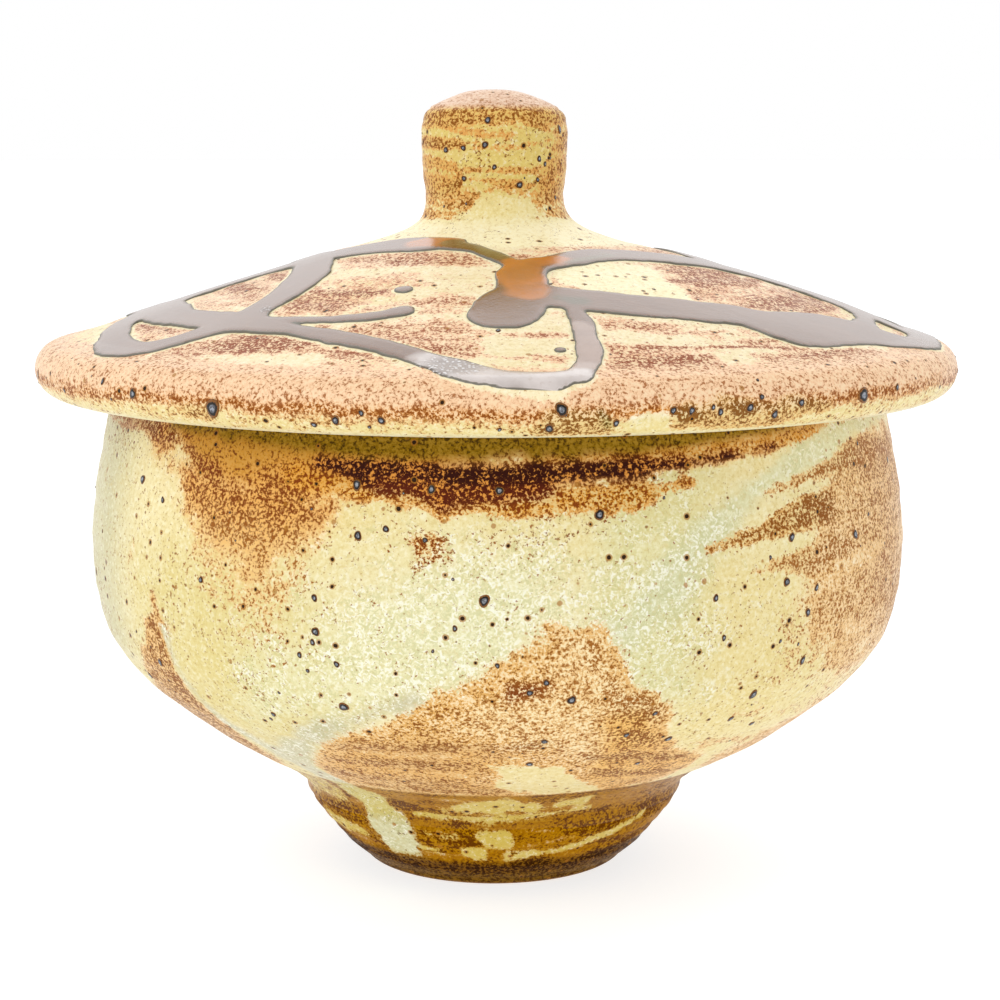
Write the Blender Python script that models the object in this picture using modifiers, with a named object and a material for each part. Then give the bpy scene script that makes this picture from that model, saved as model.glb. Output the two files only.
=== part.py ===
"""A wheel-thrown stoneware bowl for go stones, with a knobbed lid.

The bowl stands on a trimmed foot ring. The lid is a shallow dome whose rounded brim overhangs the
mouth, and a ring under it keeps it centred. Thick glaze was trailed over the lid in raised lines.
Units are metres, +Z is up, and the origin is the middle of the foot on the surface below it.
"""

import math

import bmesh
import bpy
from mathutils import Vector

MM = 0.001

# Driving dimensions.
OVERALL_HEIGHT = 127.5 * MM
BRIM_RADIUS = 75.0 * MM
BRIM_ROUND = 4.2 * MM  # radius of the rolled edge of the brim
SEAT_HEIGHT = 79.0 * MM  # where the lid rests on the rim of the bowl
MOUTH_RADIUS = 58.2 * MM
RIM_RADIUS = 63.2 * MM
BELLY_RADIUS = 67.05 * MM
BELLY_HEIGHT = 53.0 * MM
FOOT_HEIGHT = 12.3 * MM
FOOT_TOP_RADIUS = 31.5 * MM
FOOT_BASE_RADIUS = 22.6 * MM
FOOT_BORE_RADIUS = 16.8 * MM
FLOOR_HEIGHT = 17.8 * MM  # inner floor of the bowl
LID_TOP_HEIGHT = 103.9 * MM  # the flat under the knob
LID_VAULT_HEIGHT = 99.0 * MM  # underside of the lid, at its middle
KNOB_RADIUS = 12.15 * MM
KNOB_BASE_RADIUS = 15.6 * MM
FLANGE_RADIUS = 57.2 * MM
FLANGE_BORE_RADIUS = 53.4 * MM
FLANGE_BASE_HEIGHT = 73.0 * MM
TRAIL_HEIGHT = 0.8 * MM
GAP = 0.3 * MM  # clearance between touching pieces

TURN_STEPS = 48  # facets round the bowl and lid
KNOB_STEPS = 28
WELD = 0.00001

# The raised glaze lines on the lid, seen from above: x to the right, y away from the front, and half
# of the line's width, all in millimetres from the axis.
TRAILS = {
    "left_outer": [
        (-50, -7, 3.6), (-56, -12, 4.4), (-59, -20, 2.8), (-58.6, -29, 2.7), (-57.2, -36, 3.0),
        (-54, -41, 2.9), (-48.5, -42.7, 2.4), (-42.5, -41.8, 2.8), (-37.5, -40.2, 3.6),
    ],
    "left_middle": [
        (-54, -12, 4.0), (-51.5, -21, 3.7), (-49, -27.5, 3.0), (-45, -33.2, 2.9), (-40.5, -38.5, 3.4),
    ],
    "left_inner": [
        (-29.3, -7, 3.3), (-29.1, -15, 3.3), (-29.4, -22, 3.6), (-31.4, -29, 3.3), (-34.6, -35, 3.0),
        (-37.5, -40.2, 3.4),
    ],
    "upper_left": [
        (-56, -9, 4.0), (-48, -6.5, 3.6), (-38, -5.5, 3.4), (-29.3, -7.5, 3.5), (-22.5, -11.5, 3.8),
        (-16, -14.8, 4.2), (-11, -17.2, 4.0), (-7.6, -18, 2.8),
    ],
    "hook": [(-33.5, -43.2, 1.2), (-28, -46.3, 1.2), (-22, -48.4, 1.3), (-17, -48.8, 1.4), (-13.4, -48, 1.6)],
    "front_sweep": [
        (-37.5, -41.5, 3.4), (-34, -45.4, 2.4), (-30.5, -48.6, 1.8), (-25.5, -53, 1.8), (-20, -57.2, 2.1),
        (-14, -61, 1.9), (-8.5, -65, 2.1), (-4.5, -68, 3.2), (1, -70.6, 2.6), (6.5, -70.8, 2.4),
        (10.8, -69.2, 2.1),
    ],
    "front_rise": [
        (11.2, -69, 2.0), (12.2, -65, 1.7), (12.7, -61, 1.9), (12.3, -57, 1.7), (12.1, -53.5, 1.8),
        (11.2, -49.5, 1.3), (10.8, -45, 1.6),
    ],
    "link": [(-8, -18.8, 2.4), (-4.2, -22, 1.8), (-1.5, -25, 1.7), (1, -28.2, 1.7), (3.2, -31.5, 2.2)],
    "right_drop": [
        (6.2, -29.6, 2.6), (3.9, -34, 3.7), (3.9, -38.5, 3.9), (4, -42.5, 4.4), (2.2, -47, 5.2),
        (0.9, -51, 5.2),
    ],
    "upper_right": [
        (5.2, -31, 2.6), (10.5, -27, 3.0), (15, -22.6, 3.0), (20.5, -19, 3.0), (26, -15.2, 3.2),
        (32, -10.6, 3.3), (39, -7, 3.7), (47, -6, 4.2), (54, -8, 4.2), (58.6, -13, 2.7), (58.6, -20, 1.5),
        (57, -26, 2.6),
    ],
    "lower_right": [
        (6, -43.6, 4.2), (13, -44.5, 4.0), (21, -44.5, 4.2), (29, -43, 4.1), (36, -41.2, 4.2),
        (42.8, -41.6, 6.1), (48, -37, 5.6), (53.5, -32, 4.9), (60, -28, 4.0), (65, -21.5, 3.4),
        (67.2, -13, 3.0), (68.2, -5, 3.0),
    ],
    "back_left": [
        (-53, -9, 4.0), (-57.5, -1, 3.2), (-58.5, 9, 2.8), (-54.5, 20, 2.6), (-46, 29.5, 3.0),
        (-34, 35.5, 2.4), (-22, 34, 2.1), (-13, 27, 1.8), (-8.5, 20.5, 2.2),
    ],
    "back_left_rib": [(-29.3, -7, 3.2), (-31.5, 3, 2.4), (-36, 13, 2.1), (-42, 22, 2.4), (-46, 29, 2.8)],
    "back_right": [
        (68.2, -5, 3.0), (67, 6, 2.8), (61, 17.5, 3.2), (51, 26, 3.0), (40, 27.5, 2.6), (31.5, 21, 2.2),
        (29, 10, 2.4), (32, -1, 2.8), (36.5, -8, 3.0),
    ],
    "back_sweep": [
        (51, 26, 3.0), (46.5, 37, 2.4), (36.5, 47, 2.0), (23.5, 54.5, 2.0), (10, 58, 2.4), (0.5, 57, 3.4),
    ],
}


def clear_scene():
    for obj in list(bpy.data.objects):
        bpy.data.objects.remove(obj, do_unlink=True)


def new_collection(name, hidden=False):
    collection = bpy.data.collections.new(name)
    collection.hide_render = hidden
    bpy.context.scene.collection.children.link(collection)
    return collection


def new_glaze(name, colour, roughness):
    material = bpy.data.materials.new(name)
    material.use_nodes = True
    shader = material.node_tree.nodes["Principled BSDF"]
    shader.inputs["Base Color"].default_value = (*colour, 1.0)
    shader.inputs["Roughness"].default_value = roughness
    shader.inputs["Metallic"].default_value = 0.0
    return material


def smooth_line(keys, per_span):
    """Points along a Catmull-Rom curve through the keys, which hold two or more numbers each."""
    keys = [Vector(key) for key in keys]
    keys = [2 * keys[0] - keys[1], *keys, 2 * keys[-1] - keys[-2]]
    points = []
    for before, start, end, after in zip(keys, keys[1:], keys[2:], keys[3:]):
        for step in range(per_span):
            t = step / per_span
            points.append(
                0.5
                * (
                    2 * start
                    + (end - before) * t
                    + (2 * before - 5 * start + 4 * end - after) * t**2
                    + (3 * start - before - 3 * end + after) * t**3
                )
            )
    points.append(keys[-2])
    return points


def in_metres(keys):
    return [tuple(value * MM for value in key) for key in keys]


def arc(centre_r, centre_z, radius, start, end, steps):
    """Points (r, z) on an arc between two angles in degrees, measured from +r towards +z."""
    angles = [math.radians(start + (end - start) * i / steps) for i in range(steps + 1)]
    return [(centre_r + radius * math.cos(a), centre_z + radius * math.sin(a)) for a in angles]


def turned(name, profile, steps, collection):
    """A solid turned about +Z from a profile of (r, z) that runs down its outer side and back up."""
    mesh = bpy.data.meshes.new(name)
    closes = profile[0][0] > 0 or profile[-1][0] > 0
    edges = [(i, i + 1) for i in range(len(profile) - 1)]
    if closes:
        edges.append((len(profile) - 1, 0))
    mesh.from_pydata([(r, 0.0, z) for r, z in profile], edges, [])
    obj = bpy.data.objects.new(name, mesh)
    collection.objects.link(obj)
    screw = obj.modifiers.new("Turn", "SCREW")
    screw.axis = "Z"
    screw.steps = steps
    screw.render_steps = steps
    screw.use_merge_vertices = True
    screw.merge_threshold = WELD
    screw.use_smooth_shade = True
    return obj


def bowl_profile():
    outer = smooth_line(
        [
            (RIM_RADIUS, SEAT_HEIGHT - GAP - 0.8 * MM),
            (64.6 * MM, 72.5 * MM),
            (66.3 * MM, 63.5 * MM),
            (BELLY_RADIUS, BELLY_HEIGHT),
            (65.2 * MM, 42.0 * MM),
            (59.9 * MM, 34.0 * MM),
            (50.1 * MM, 26.0 * MM),
            (40.7 * MM, 20.0 * MM),
            (35.0 * MM, 16.7 * MM),
            (FOOT_TOP_RADIUS + 0.7 * MM, FOOT_HEIGHT),
        ],
        2,
    )
    inner = smooth_line(
        [
            (0.0, FLOOR_HEIGHT),
            (18.0 * MM, 18.5 * MM),
            (33.0 * MM, 21.6 * MM),
            (45.0 * MM, 27.4 * MM),
            (54.4 * MM, 35.2 * MM),
            (60.0 * MM, 44.0 * MM),
            (61.6 * MM, 54.0 * MM),
            (60.6 * MM, 65.0 * MM),
            (MOUTH_RADIUS, SEAT_HEIGHT - GAP - 0.8 * MM),
        ],
        1,
    )
    rim = [
        (MOUTH_RADIUS + 0.8 * MM, SEAT_HEIGHT - GAP),
        (RIM_RADIUS - 0.8 * MM, SEAT_HEIGHT - GAP),
    ]
    return [*rim, *outer, (0.0, FOOT_HEIGHT), *inner]


def foot_profile():
    outer = smooth_line(
        [
            (FOOT_TOP_RADIUS, FOOT_HEIGHT - GAP),
            (30.2 * MM, 8.4 * MM),
            (27.6 * MM, 4.6 * MM),
            (25.0 * MM, 1.8 * MM),
            (FOOT_BASE_RADIUS, 0.0),
        ],
        2,
    )
    bore = [
        (FOOT_BORE_RADIUS, 0.0),
        (FOOT_BORE_RADIUS + 0.6 * MM, 1.0 * MM),
        (19.4 * MM, 7.5 * MM),
        (22.0 * MM, FOOT_HEIGHT - GAP),
    ]
    return [*outer, *bore]


def lid_slope():
    """The top of the lid, from the flat under the knob out to the start of the brim."""
    return smooth_line(
        in_metres([(20.3, 103.0), (29.5, 100.7), (40.5, 97.5), (50.5, 94.4), (60.5, 91.1), (67.4, 88.4)]),
        2,
    )


def lid_profile():
    brim = arc(BRIM_RADIUS - BRIM_ROUND, SEAT_HEIGHT + BRIM_ROUND, BRIM_ROUND, 78, -90, 8)
    vault = smooth_line(
        [
            (FLANGE_BORE_RADIUS - 0.6 * MM, SEAT_HEIGHT + 1.2 * MM),
            (51.4 * MM, 87.0 * MM),
            (40.0 * MM, 92.0 * MM),
            (25.0 * MM, 97.0 * MM),
            (0.0, LID_VAULT_HEIGHT),
        ],
        1,
    )
    flat = [(0.0, LID_TOP_HEIGHT), (KNOB_BASE_RADIUS + 0.6 * MM, LID_TOP_HEIGHT)]
    seat = [(FLANGE_BORE_RADIUS, SEAT_HEIGHT)]
    return [*flat, *lid_slope(), *brim, *seat, *vault]


def flange_profile():
    top = SEAT_HEIGHT - GAP
    chamfer = 0.8 * MM
    return [
        (FLANGE_BORE_RADIUS, top),
        (FLANGE_RADIUS, top),
        (FLANGE_RADIUS, FLANGE_BASE_HEIGHT + chamfer),
        (FLANGE_RADIUS - chamfer, FLANGE_BASE_HEIGHT),
        (FLANGE_BORE_RADIUS + chamfer, FLANGE_BASE_HEIGHT),
        (FLANGE_BORE_RADIUS, FLANGE_BASE_HEIGHT + chamfer),
    ]


def knob_profile():
    base = LID_TOP_HEIGHT + GAP
    top = [(0.0, OVERALL_HEIGHT), (4.3 * MM, 127.1 * MM), (8.2 * MM, 125.9 * MM), (10.9 * MM, 124.4 * MM)]
    side = smooth_line(
        [
            (12.0 * MM, 122.4 * MM),
            (KNOB_RADIUS, 118.5 * MM),
            (11.7 * MM, 112.5 * MM),
            (11.7 * MM, 108.4 * MM),
            (13.2 * MM, 106.0 * MM),
            (KNOB_BASE_RADIUS - 0.4 * MM, base + 0.5 * MM),
        ],
        2,
    )
    return [*top, *side, (KNOB_BASE_RADIUS, base), (0.0, base)]


def lid_height_at(radius):
    """Height of the lid's top surface at a distance from the axis."""
    rings = lid_slope()
    for inner, outer in zip(rings, rings[1:]):
        if radius <= outer[0]:
            share = (radius - inner[0]) / (outer[0] - inner[0])
            return inner[1] + share * (outer[1] - inner[1])
    return rings[-1][1]


def trail_skin(collection):
    """The thin layer just above the lid that the trailed glaze fills."""
    slope = [(KNOB_BASE_RADIUS + 1.2 * MM, LID_TOP_HEIGHT), *lid_slope(), (71.8 * MM, 87.1 * MM)]
    lift = GAP + 0.05 * MM
    top = [(r, z + lift + TRAIL_HEIGHT) for r, z in slope]
    bottom = [(r, z + lift) for r, z in slope]
    skin = turned("trail_skin", [*top, *reversed(bottom)], TURN_STEPS, collection)
    skin.hide_render = True
    skin.display_type = "WIRE"
    return skin


def rounded_end(points):
    """The points of a glaze line with its last end drawn out into a rounded tip."""
    x, y, half_width = points[-1]
    run = Vector((x, y)) - Vector(points[-2][:2])
    run = run.normalized() * half_width
    shoulder = (x + 0.6 * run.x, y + 0.6 * run.y, 0.8 * half_width)
    tip = (x + 0.9 * run.x, y + 0.9 * run.y, 0.45 * half_width)
    return [*points, shoulder, tip]


def trail_tube(name, stroke, collection):
    """A closed tube along one glaze line, half sunk in the lid, as a mesh object."""
    points = rounded_end(smooth_line(in_metres(stroke), 2))
    data = bpy.data.curves.new(name, "CURVE")
    data.dimensions = "3D"
    data.bevel_depth = 1.0
    data.bevel_resolution = 2
    data.use_fill_caps = True
    spline = data.splines.new("POLY")
    spline.points.add(len(points) - 1)
    for point, (x, y, half_width) in zip(spline.points, points):
        point.co = (x, y, lid_height_at(math.hypot(x, y)), 1.0)
        point.radius = half_width
    curve = bpy.data.objects.new(name + "_curve", data)
    collection.objects.link(curve)
    bpy.context.view_layer.update()
    evaluated = curve.evaluated_get(bpy.context.evaluated_depsgraph_get())
    mesh = bpy.data.meshes.new_from_object(evaluated)
    work = bmesh.new()
    work.from_mesh(mesh)
    bmesh.ops.remove_doubles(work, verts=work.verts, dist=WELD)
    bmesh.ops.recalc_face_normals(work, faces=work.faces)
    work.to_mesh(mesh)
    work.free()
    tube = bpy.data.objects.new(name, mesh)
    tube.matrix_world = curve.matrix_world
    collection.objects.link(tube)
    bpy.data.objects.remove(curve, do_unlink=True)
    tube.hide_render = True
    tube.display_type = "WIRE"
    return tube


def glaze_trails(parts, cutters):
    """The raised web of glaze: every line joined, then cut to the layer above the lid."""
    tubes = [trail_tube("trail_" + name, stroke, cutters) for name, stroke in TRAILS.items()]
    web = tubes[0].copy()
    web.data = tubes[0].data.copy()
    web.name = "glaze_trails"
    web.hide_render = False
    web.display_type = "TEXTURED"
    parts.objects.link(web)
    for tube in tubes[1:]:
        join = web.modifiers.new("Join " + tube.name, "BOOLEAN")
        join.operation = "UNION"
        join.solver = "MANIFOLD"
        join.object = tube
    cut = web.modifiers.new("Keep layer", "BOOLEAN")
    cut.operation = "INTERSECT"
    cut.solver = "MANIFOLD"
    cut.object = trail_skin(cutters)
    return web


def finish_piece(obj, material, parent):
    obj.data.materials.clear()
    obj.data.materials.append(material)
    obj.data.shade_smooth()
    obj.data.set_sharp_from_angle(angle=math.radians(40))
    obj.parent = parent
    obj.matrix_parent_inverse = parent.matrix_world.inverted()


def axis_empty(name, height, collection):
    empty = bpy.data.objects.new(name, None)
    empty.location = (0.0, 0.0, height)
    collection.objects.link(empty)
    bpy.context.view_layer.update()
    return empty


def main():
    clear_scene()
    parts = new_collection("go_stone_bowl")
    cutters = new_collection("cutters", hidden=True)

    mottled = new_glaze("mottled_glaze", (0.72, 0.60, 0.36), 0.22)
    ochre = new_glaze("foot_glaze", (0.42, 0.28, 0.09), 0.30)
    liner = new_glaze("liner_glaze", (0.78, 0.70, 0.48), 0.20)
    brown = new_glaze("trail_glaze", (0.30, 0.15, 0.04), 0.10)

    bowl_axis = axis_empty("bowl_axis", 0.0, parts)
    lid_axis = axis_empty("lid_axis", SEAT_HEIGHT, parts)

    finish_piece(turned("bowl_body", bowl_profile(), TURN_STEPS, parts), mottled, bowl_axis)
    finish_piece(turned("foot_ring", foot_profile(), TURN_STEPS, parts), ochre, bowl_axis)
    finish_piece(turned("lid_dome", lid_profile(), TURN_STEPS, parts), mottled, lid_axis)
    finish_piece(turned("lid_flange", flange_profile(), TURN_STEPS, parts), liner, lid_axis)
    finish_piece(turned("lid_knob", knob_profile(), KNOB_STEPS, parts), mottled, lid_axis)
    finish_piece(glaze_trails(parts, cutters), brown, lid_axis)


main()
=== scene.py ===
"""The looks of a stoneware go stone bowl with a knobbed lid.

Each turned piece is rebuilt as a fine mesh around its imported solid, the mottled glaze is laid out in
broad shapes as colours on the mesh, and the materials break those shapes up into grain and specks.
Lengths in the tables are millimetres, angles are degrees round the axis: 0 faces the front, and they
grow towards the right.
"""

import math

import bpy
import numpy as np
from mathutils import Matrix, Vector


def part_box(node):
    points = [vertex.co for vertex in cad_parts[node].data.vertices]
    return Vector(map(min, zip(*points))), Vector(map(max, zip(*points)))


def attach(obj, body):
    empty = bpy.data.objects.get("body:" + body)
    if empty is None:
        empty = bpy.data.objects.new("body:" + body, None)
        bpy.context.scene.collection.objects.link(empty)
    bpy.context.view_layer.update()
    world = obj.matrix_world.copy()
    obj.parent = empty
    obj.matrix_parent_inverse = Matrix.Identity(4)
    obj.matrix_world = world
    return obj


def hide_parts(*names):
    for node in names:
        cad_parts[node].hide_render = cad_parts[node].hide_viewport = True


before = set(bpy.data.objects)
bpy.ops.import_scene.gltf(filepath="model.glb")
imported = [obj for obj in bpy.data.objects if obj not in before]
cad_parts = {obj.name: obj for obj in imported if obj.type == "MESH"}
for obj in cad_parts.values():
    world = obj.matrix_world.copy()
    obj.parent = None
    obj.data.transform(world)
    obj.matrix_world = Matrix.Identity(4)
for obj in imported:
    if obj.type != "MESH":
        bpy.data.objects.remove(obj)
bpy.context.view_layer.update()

MM = 0.001
SEED = 11
GAP = 0.3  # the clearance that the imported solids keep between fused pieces
FAR = 1e9
ON_AXIS = 1e-6
OCTAVE_SHIFT = 31.7  # keeps the layers of a fractal from sharing a lattice

# Large odd numbers that scramble a cell's whole numbers into one that looks random.
CELL_FACTORS = (73856093, 19349663, 83492791)
SEED_FACTOR = 2654435761
MIX_FACTORS = (1274126177, 2246822519)
LOW_32_BITS, LOW_24_BITS = 2**32 - 1, 2**24 - 1


# ---- Numbers: curves, noise and soft shapes ----


def srgb(red, green, blue):
    """A colour given as it looks on a screen, 0 to 255, as the linear values that shaders take."""
    values = np.array([red, green, blue], float) / 255
    return np.where(values <= 0.04045, values / 12.92, ((values + 0.055) / 1.055) ** 2.4)


def smoothstep(low, high, value):
    t = np.clip((value - low) / (high - low), 0, 1)
    return t * t * (3 - 2 * t)


def smooth_line(keys, per_span):
    """Points along a Catmull-Rom curve through the keys."""
    keys = np.array(keys, float)
    keys = np.vstack([2 * keys[0] - keys[1], keys, 2 * keys[-1] - keys[-2]])
    t = (np.arange(per_span) / per_span)[:, None]
    spans = []
    for before, start, end, after in zip(keys, keys[1:], keys[2:], keys[3:]):
        slope = end - before
        curve = 2 * before - 5 * start + 4 * end - after
        twist = 3 * start - before - 3 * end + after
        spans.append(0.5 * (2 * start + slope * t + curve * t**2 + twist * t**3))
    return np.vstack([*spans, keys[-2]])


def even_line(points, spacing):
    """The same line with its points an even distance apart."""
    points = np.array(points, float)
    steps = np.hypot(*np.diff(points, axis=0).T)
    along = np.concatenate([[0], np.cumsum(steps)])
    count = max(2, int(round(along[-1] / spacing)) + 1)
    wanted = np.linspace(0, along[-1], count)
    return np.stack([np.interp(wanted, along, points[:, k]) for k in range(2)], axis=1)


def curve(keys, spacing, per_span=12):
    """Evenly spaced points along a smooth line through the keys."""
    return even_line(smooth_line(keys, per_span), spacing)


def rounded(centre_r, centre_z, radius, start, end, spacing=0.35):
    """An arc between two angles in degrees, with its points about that far apart."""
    steps = max(3, int(abs(end - start) * math.pi / 180 * radius / spacing))
    angles = np.radians(np.linspace(start, end, steps + 1))
    return np.stack([centre_r + radius * np.cos(angles), centre_z + radius * np.sin(angles)], axis=1)


def lattice_value(cell, seed):
    """A repeatable random number from 0 to 1 for each whole-numbered cell."""
    x, y, z = (cell[..., k].astype(np.int64) * factor for k, factor in enumerate(CELL_FACTORS))
    value = x ^ y ^ z ^ (seed * SEED_FACTOR)
    value = (value ^ (value >> 13)) * MIX_FACTORS[0] & LOW_32_BITS
    value = (value ^ (value >> 16)) * MIX_FACTORS[1] & LOW_32_BITS
    return ((value ^ (value >> 15)) & LOW_24_BITS) / LOW_24_BITS


def noise(points, seed=0):
    """Smooth noise from 0 to 1 at points given in units of its grain."""
    cell = np.floor(points)
    near = points - cell
    near = near * near * (3 - 2 * near)
    total = 0
    for corner in np.ndindex(2, 2, 2):
        weight = np.prod(np.where(corner, near, 1 - near), axis=-1)
        total = total + weight * lattice_value(cell + corner, seed)
    return total


def fractal(points, grain, octaves=4, seed=0):
    """Layered noise, centred on 0 and reaching about 0.5 each way. grain is its largest feature."""
    total = np.zeros(points.shape[:-1])
    reach = 0
    for octave in range(octaves):
        share = 0.55**octave
        layer = noise(points / grain * 2**octave + OCTAVE_SHIFT * octave, SEED + seed + octave)
        total += share * (layer - 0.5)
        reach += share
    return total / reach * 1.6


def segment_gap(u, v, start, end):
    """Where along a segment each point is nearest to it, from 0 to 1, and how far away it is."""
    run_u, run_v = end[0] - start[0], end[1] - start[1]
    length_squared = run_u * run_u + run_v * run_v + 1e-12
    share = np.clip(((u - start[0]) * run_u + (v - start[1]) * run_v) / length_squared, 0, 1)
    return share, np.hypot(u - start[0] - share * run_u, v - start[1] - share * run_v)


def polygon_distance(u, v, corners):
    """Signed distance from points to a closed outline, negative inside."""
    best = np.full(u.shape, FAR)
    inside = np.zeros(u.shape, bool)
    for a, b in zip(corners, [*corners[1:], corners[0]]):
        best = np.minimum(best, segment_gap(u, v, a, b)[1])
        crossing = (b[0] - a[0]) * (v - a[1]) / (b[1] - a[1] + 1e-12) + a[0]
        inside ^= ((a[1] > v) != (b[1] > v)) & (u < crossing)
    return np.where(inside, -best, best)


def line_distance(u, v, points):
    """Distance from points to a line of tapering width, negative inside it."""
    best = np.full(u.shape, FAR)
    for a, b in zip(points, points[1:]):
        share, gap = segment_gap(u, v, a, b)
        best = np.minimum(best, gap - (a[2] + share * (b[2] - a[2])))
    return best


# ---- Turned meshes ----


def turned(name, profile, segments, shape, closed_ring=False):
    """A mesh turned from a profile of (r, z) in millimetres that runs down its outer side.

    shape(angle, r, z) gives the r and z of each point, with the unevenness that hands leave. Where
    the profile starts or ends on the axis, that end is one point.
    """
    angles = np.linspace(-180, 180, segments, endpoint=False)
    turn = np.radians(angles)
    rings, rows = [], []
    count = 0
    for r, z in profile:
        moved_r, moved_z = shape(angles, np.full(segments, r), np.full(segments, z))
        ring = np.stack([moved_r * np.sin(turn), -moved_r * np.cos(turn), moved_z], axis=1)
        if r < ON_AXIS:
            middle = np.zeros(1)
            ring = np.array([[0.0, 0.0, shape(middle, middle, np.array([z]))[1][0]]])
        rings.append(ring)
        rows.append(np.arange(count, count + len(ring)))
        count += len(ring)
    if closed_ring:
        rows.append(rows[0])
    faces = []
    for upper, lower in zip(rows, rows[1:]):
        if len(upper) == len(lower) == 1:
            continue
        if len(upper) == 1:
            faces += [(upper[0], a, b) for a, b in zip(lower, np.roll(lower, -1))]
        elif len(lower) == 1:
            faces += [(a, lower[0], b) for a, b in zip(upper, np.roll(upper, -1))]
        else:
            faces += np.stack([upper, lower, np.roll(lower, -1), np.roll(upper, -1)], axis=1).tolist()
    return new_piece(name, np.vstack(rings) * MM, faces)


def new_piece(name, points, faces):
    mesh = bpy.data.meshes.new(name)
    mesh.from_pydata(points.tolist(), [], faces)
    mesh.update()
    mesh.shade_smooth()
    piece = bpy.data.objects.new(name, mesh)
    bpy.context.scene.collection.objects.link(piece)
    return piece


def points_of(piece):
    """The piece's points in millimetres."""
    points = np.empty(len(piece.data.vertices) * 3, np.float32)
    piece.data.vertices.foreach_get("co", points)
    return points.reshape(-1, 3).astype(float) / MM


def around(points):
    """Angle in degrees, distance from the axis and height of each point."""
    angle = np.degrees(np.arctan2(points[:, 0], -points[:, 1]))
    return angle, np.hypot(points[:, 0], points[:, 1]), points[:, 2]


def paint(piece, name, values):
    """Lays one number or one colour on each point of the mesh."""
    values = np.asarray(values, np.float32)
    if values.ndim == 1:
        piece.data.attributes.new(name, "FLOAT", "POINT").data.foreach_set("value", values)
        return
    colours = np.hstack([values, np.ones((len(values), 1), np.float32)])
    piece.data.attributes.new(name, "FLOAT_COLOR", "POINT").data.foreach_set("color", colours.ravel())


class Glaze:
    """The broad colours of a glazed surface while they are being laid out.

    base is the colour of the pale glaze. Where it breaks it turns to tan, by the share in cover, and
    dark grains lie on it, as close together as grain says, both from 0 to 1. crystal is how full of
    milky crystals the pale glaze is.
    """

    def __init__(self, count, base, broken):
        self.base, self.tan, self.dark = (np.tile(colour, (count, 1)) for colour in (base, *broken))
        self.cover, self.grain, self.crystal = np.zeros((3, count))

    def tint(self, mask, colour):
        self.base += mask[:, None] * (colour - self.base)

    def stain(self, mask, broken):
        self.tan += mask[:, None] * (broken[0] - self.tan)
        self.dark += mask[:, None] * (broken[1] - self.dark)

    def break_up(self, mask, cover, grain):
        """Raises the broken share and the grains towards the amounts given where the mask is."""
        self.cover += mask * np.maximum(cover - self.cover, 0)
        self.grain += mask * np.maximum(grain - self.grain, 0)

    def heal(self, mask, cover, grain=0.0):
        """Lowers the broken share and the grains towards the amounts given where the mask is."""
        self.cover -= mask * np.maximum(self.cover - cover, 0)
        self.grain -= mask * np.maximum(self.grain - grain, 0)

    def lay_on(self, piece):
        for name in ("base", "tan", "dark"):
            paint(piece, "glaze_" + name, getattr(self, name))
        for name in ("cover", "grain", "crystal"):
            paint(piece, "glaze_" + name, np.clip(getattr(self, name), 0, 1))


# Pale glazes.
CREAM = srgb(240, 224, 168)
YELLOW = srgb(236, 216, 150)
YELLOW_GREEN = srgb(222, 204, 130)
CELADON = srgb(222, 215, 158)
# The grey-green of the bowl's left edge is darkened to stand for painted shade.
GREY_GREEN_SHADED = srgb(198, 191, 146)
MILK = srgb(236, 228, 182)
WHITE_RUN = srgb(205, 197, 162)
SHELL = srgb(254, 243, 200)
PEACH = srgb(255, 236, 196)

# Broken glazes: the tan and the dark grains on it.
RUST = (srgb(236, 190, 124), srgb(158, 94, 26))
AMBER = (srgb(206, 146, 50), srgb(126, 64, 4))
RED_GRAIN = (srgb(218, 146, 62), srgb(118, 48, 2))
FRINGE = (srgb(225, 152, 44), srgb(126, 52, 2))
MAROON = (srgb(146, 52, 8), srgb(44, 8, 0))
SCORCH = (srgb(206, 148, 98), srgb(126, 68, 28))
OLIVE = (srgb(141, 106, 6), srgb(76, 52, 0))
HONEY = (srgb(228, 172, 90), srgb(138, 76, 10))
STREAK = (srgb(204, 148, 76), srgb(140, 82, 22))
OCHRE = (srgb(166, 110, 2), srgb(98, 50, 0))
UMBER = (srgb(96, 56, 2), srgb(52, 24, 0))
HEEL = (srgb(120, 84, 10), srgb(76, 42, 0))
PUDDLE = srgb(212, 186, 88)
ROSE = (srgb(246, 202, 162), srgb(172, 104, 70))
ROSE_RUST = (srgb(232, 174, 132), srgb(148, 76, 44))
BRIM_RUST = (srgb(246, 202, 160), srgb(174, 110, 62))
BRIM_LINE = (srgb(222, 146, 62), srgb(136, 68, 8))
BRIM_AMBER = (srgb(228, 178, 108), srgb(132, 80, 20))
KNOB_RUST = (srgb(228, 166, 88), srgb(140, 80, 16))
# The crown's pale pink tan is partly a painted reflection of the room on the knob's top.
CROWN_RUST_AND_SHEEN = (srgb(230, 190, 158), srgb(186, 132, 94))


# ---- Materials ----


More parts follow.
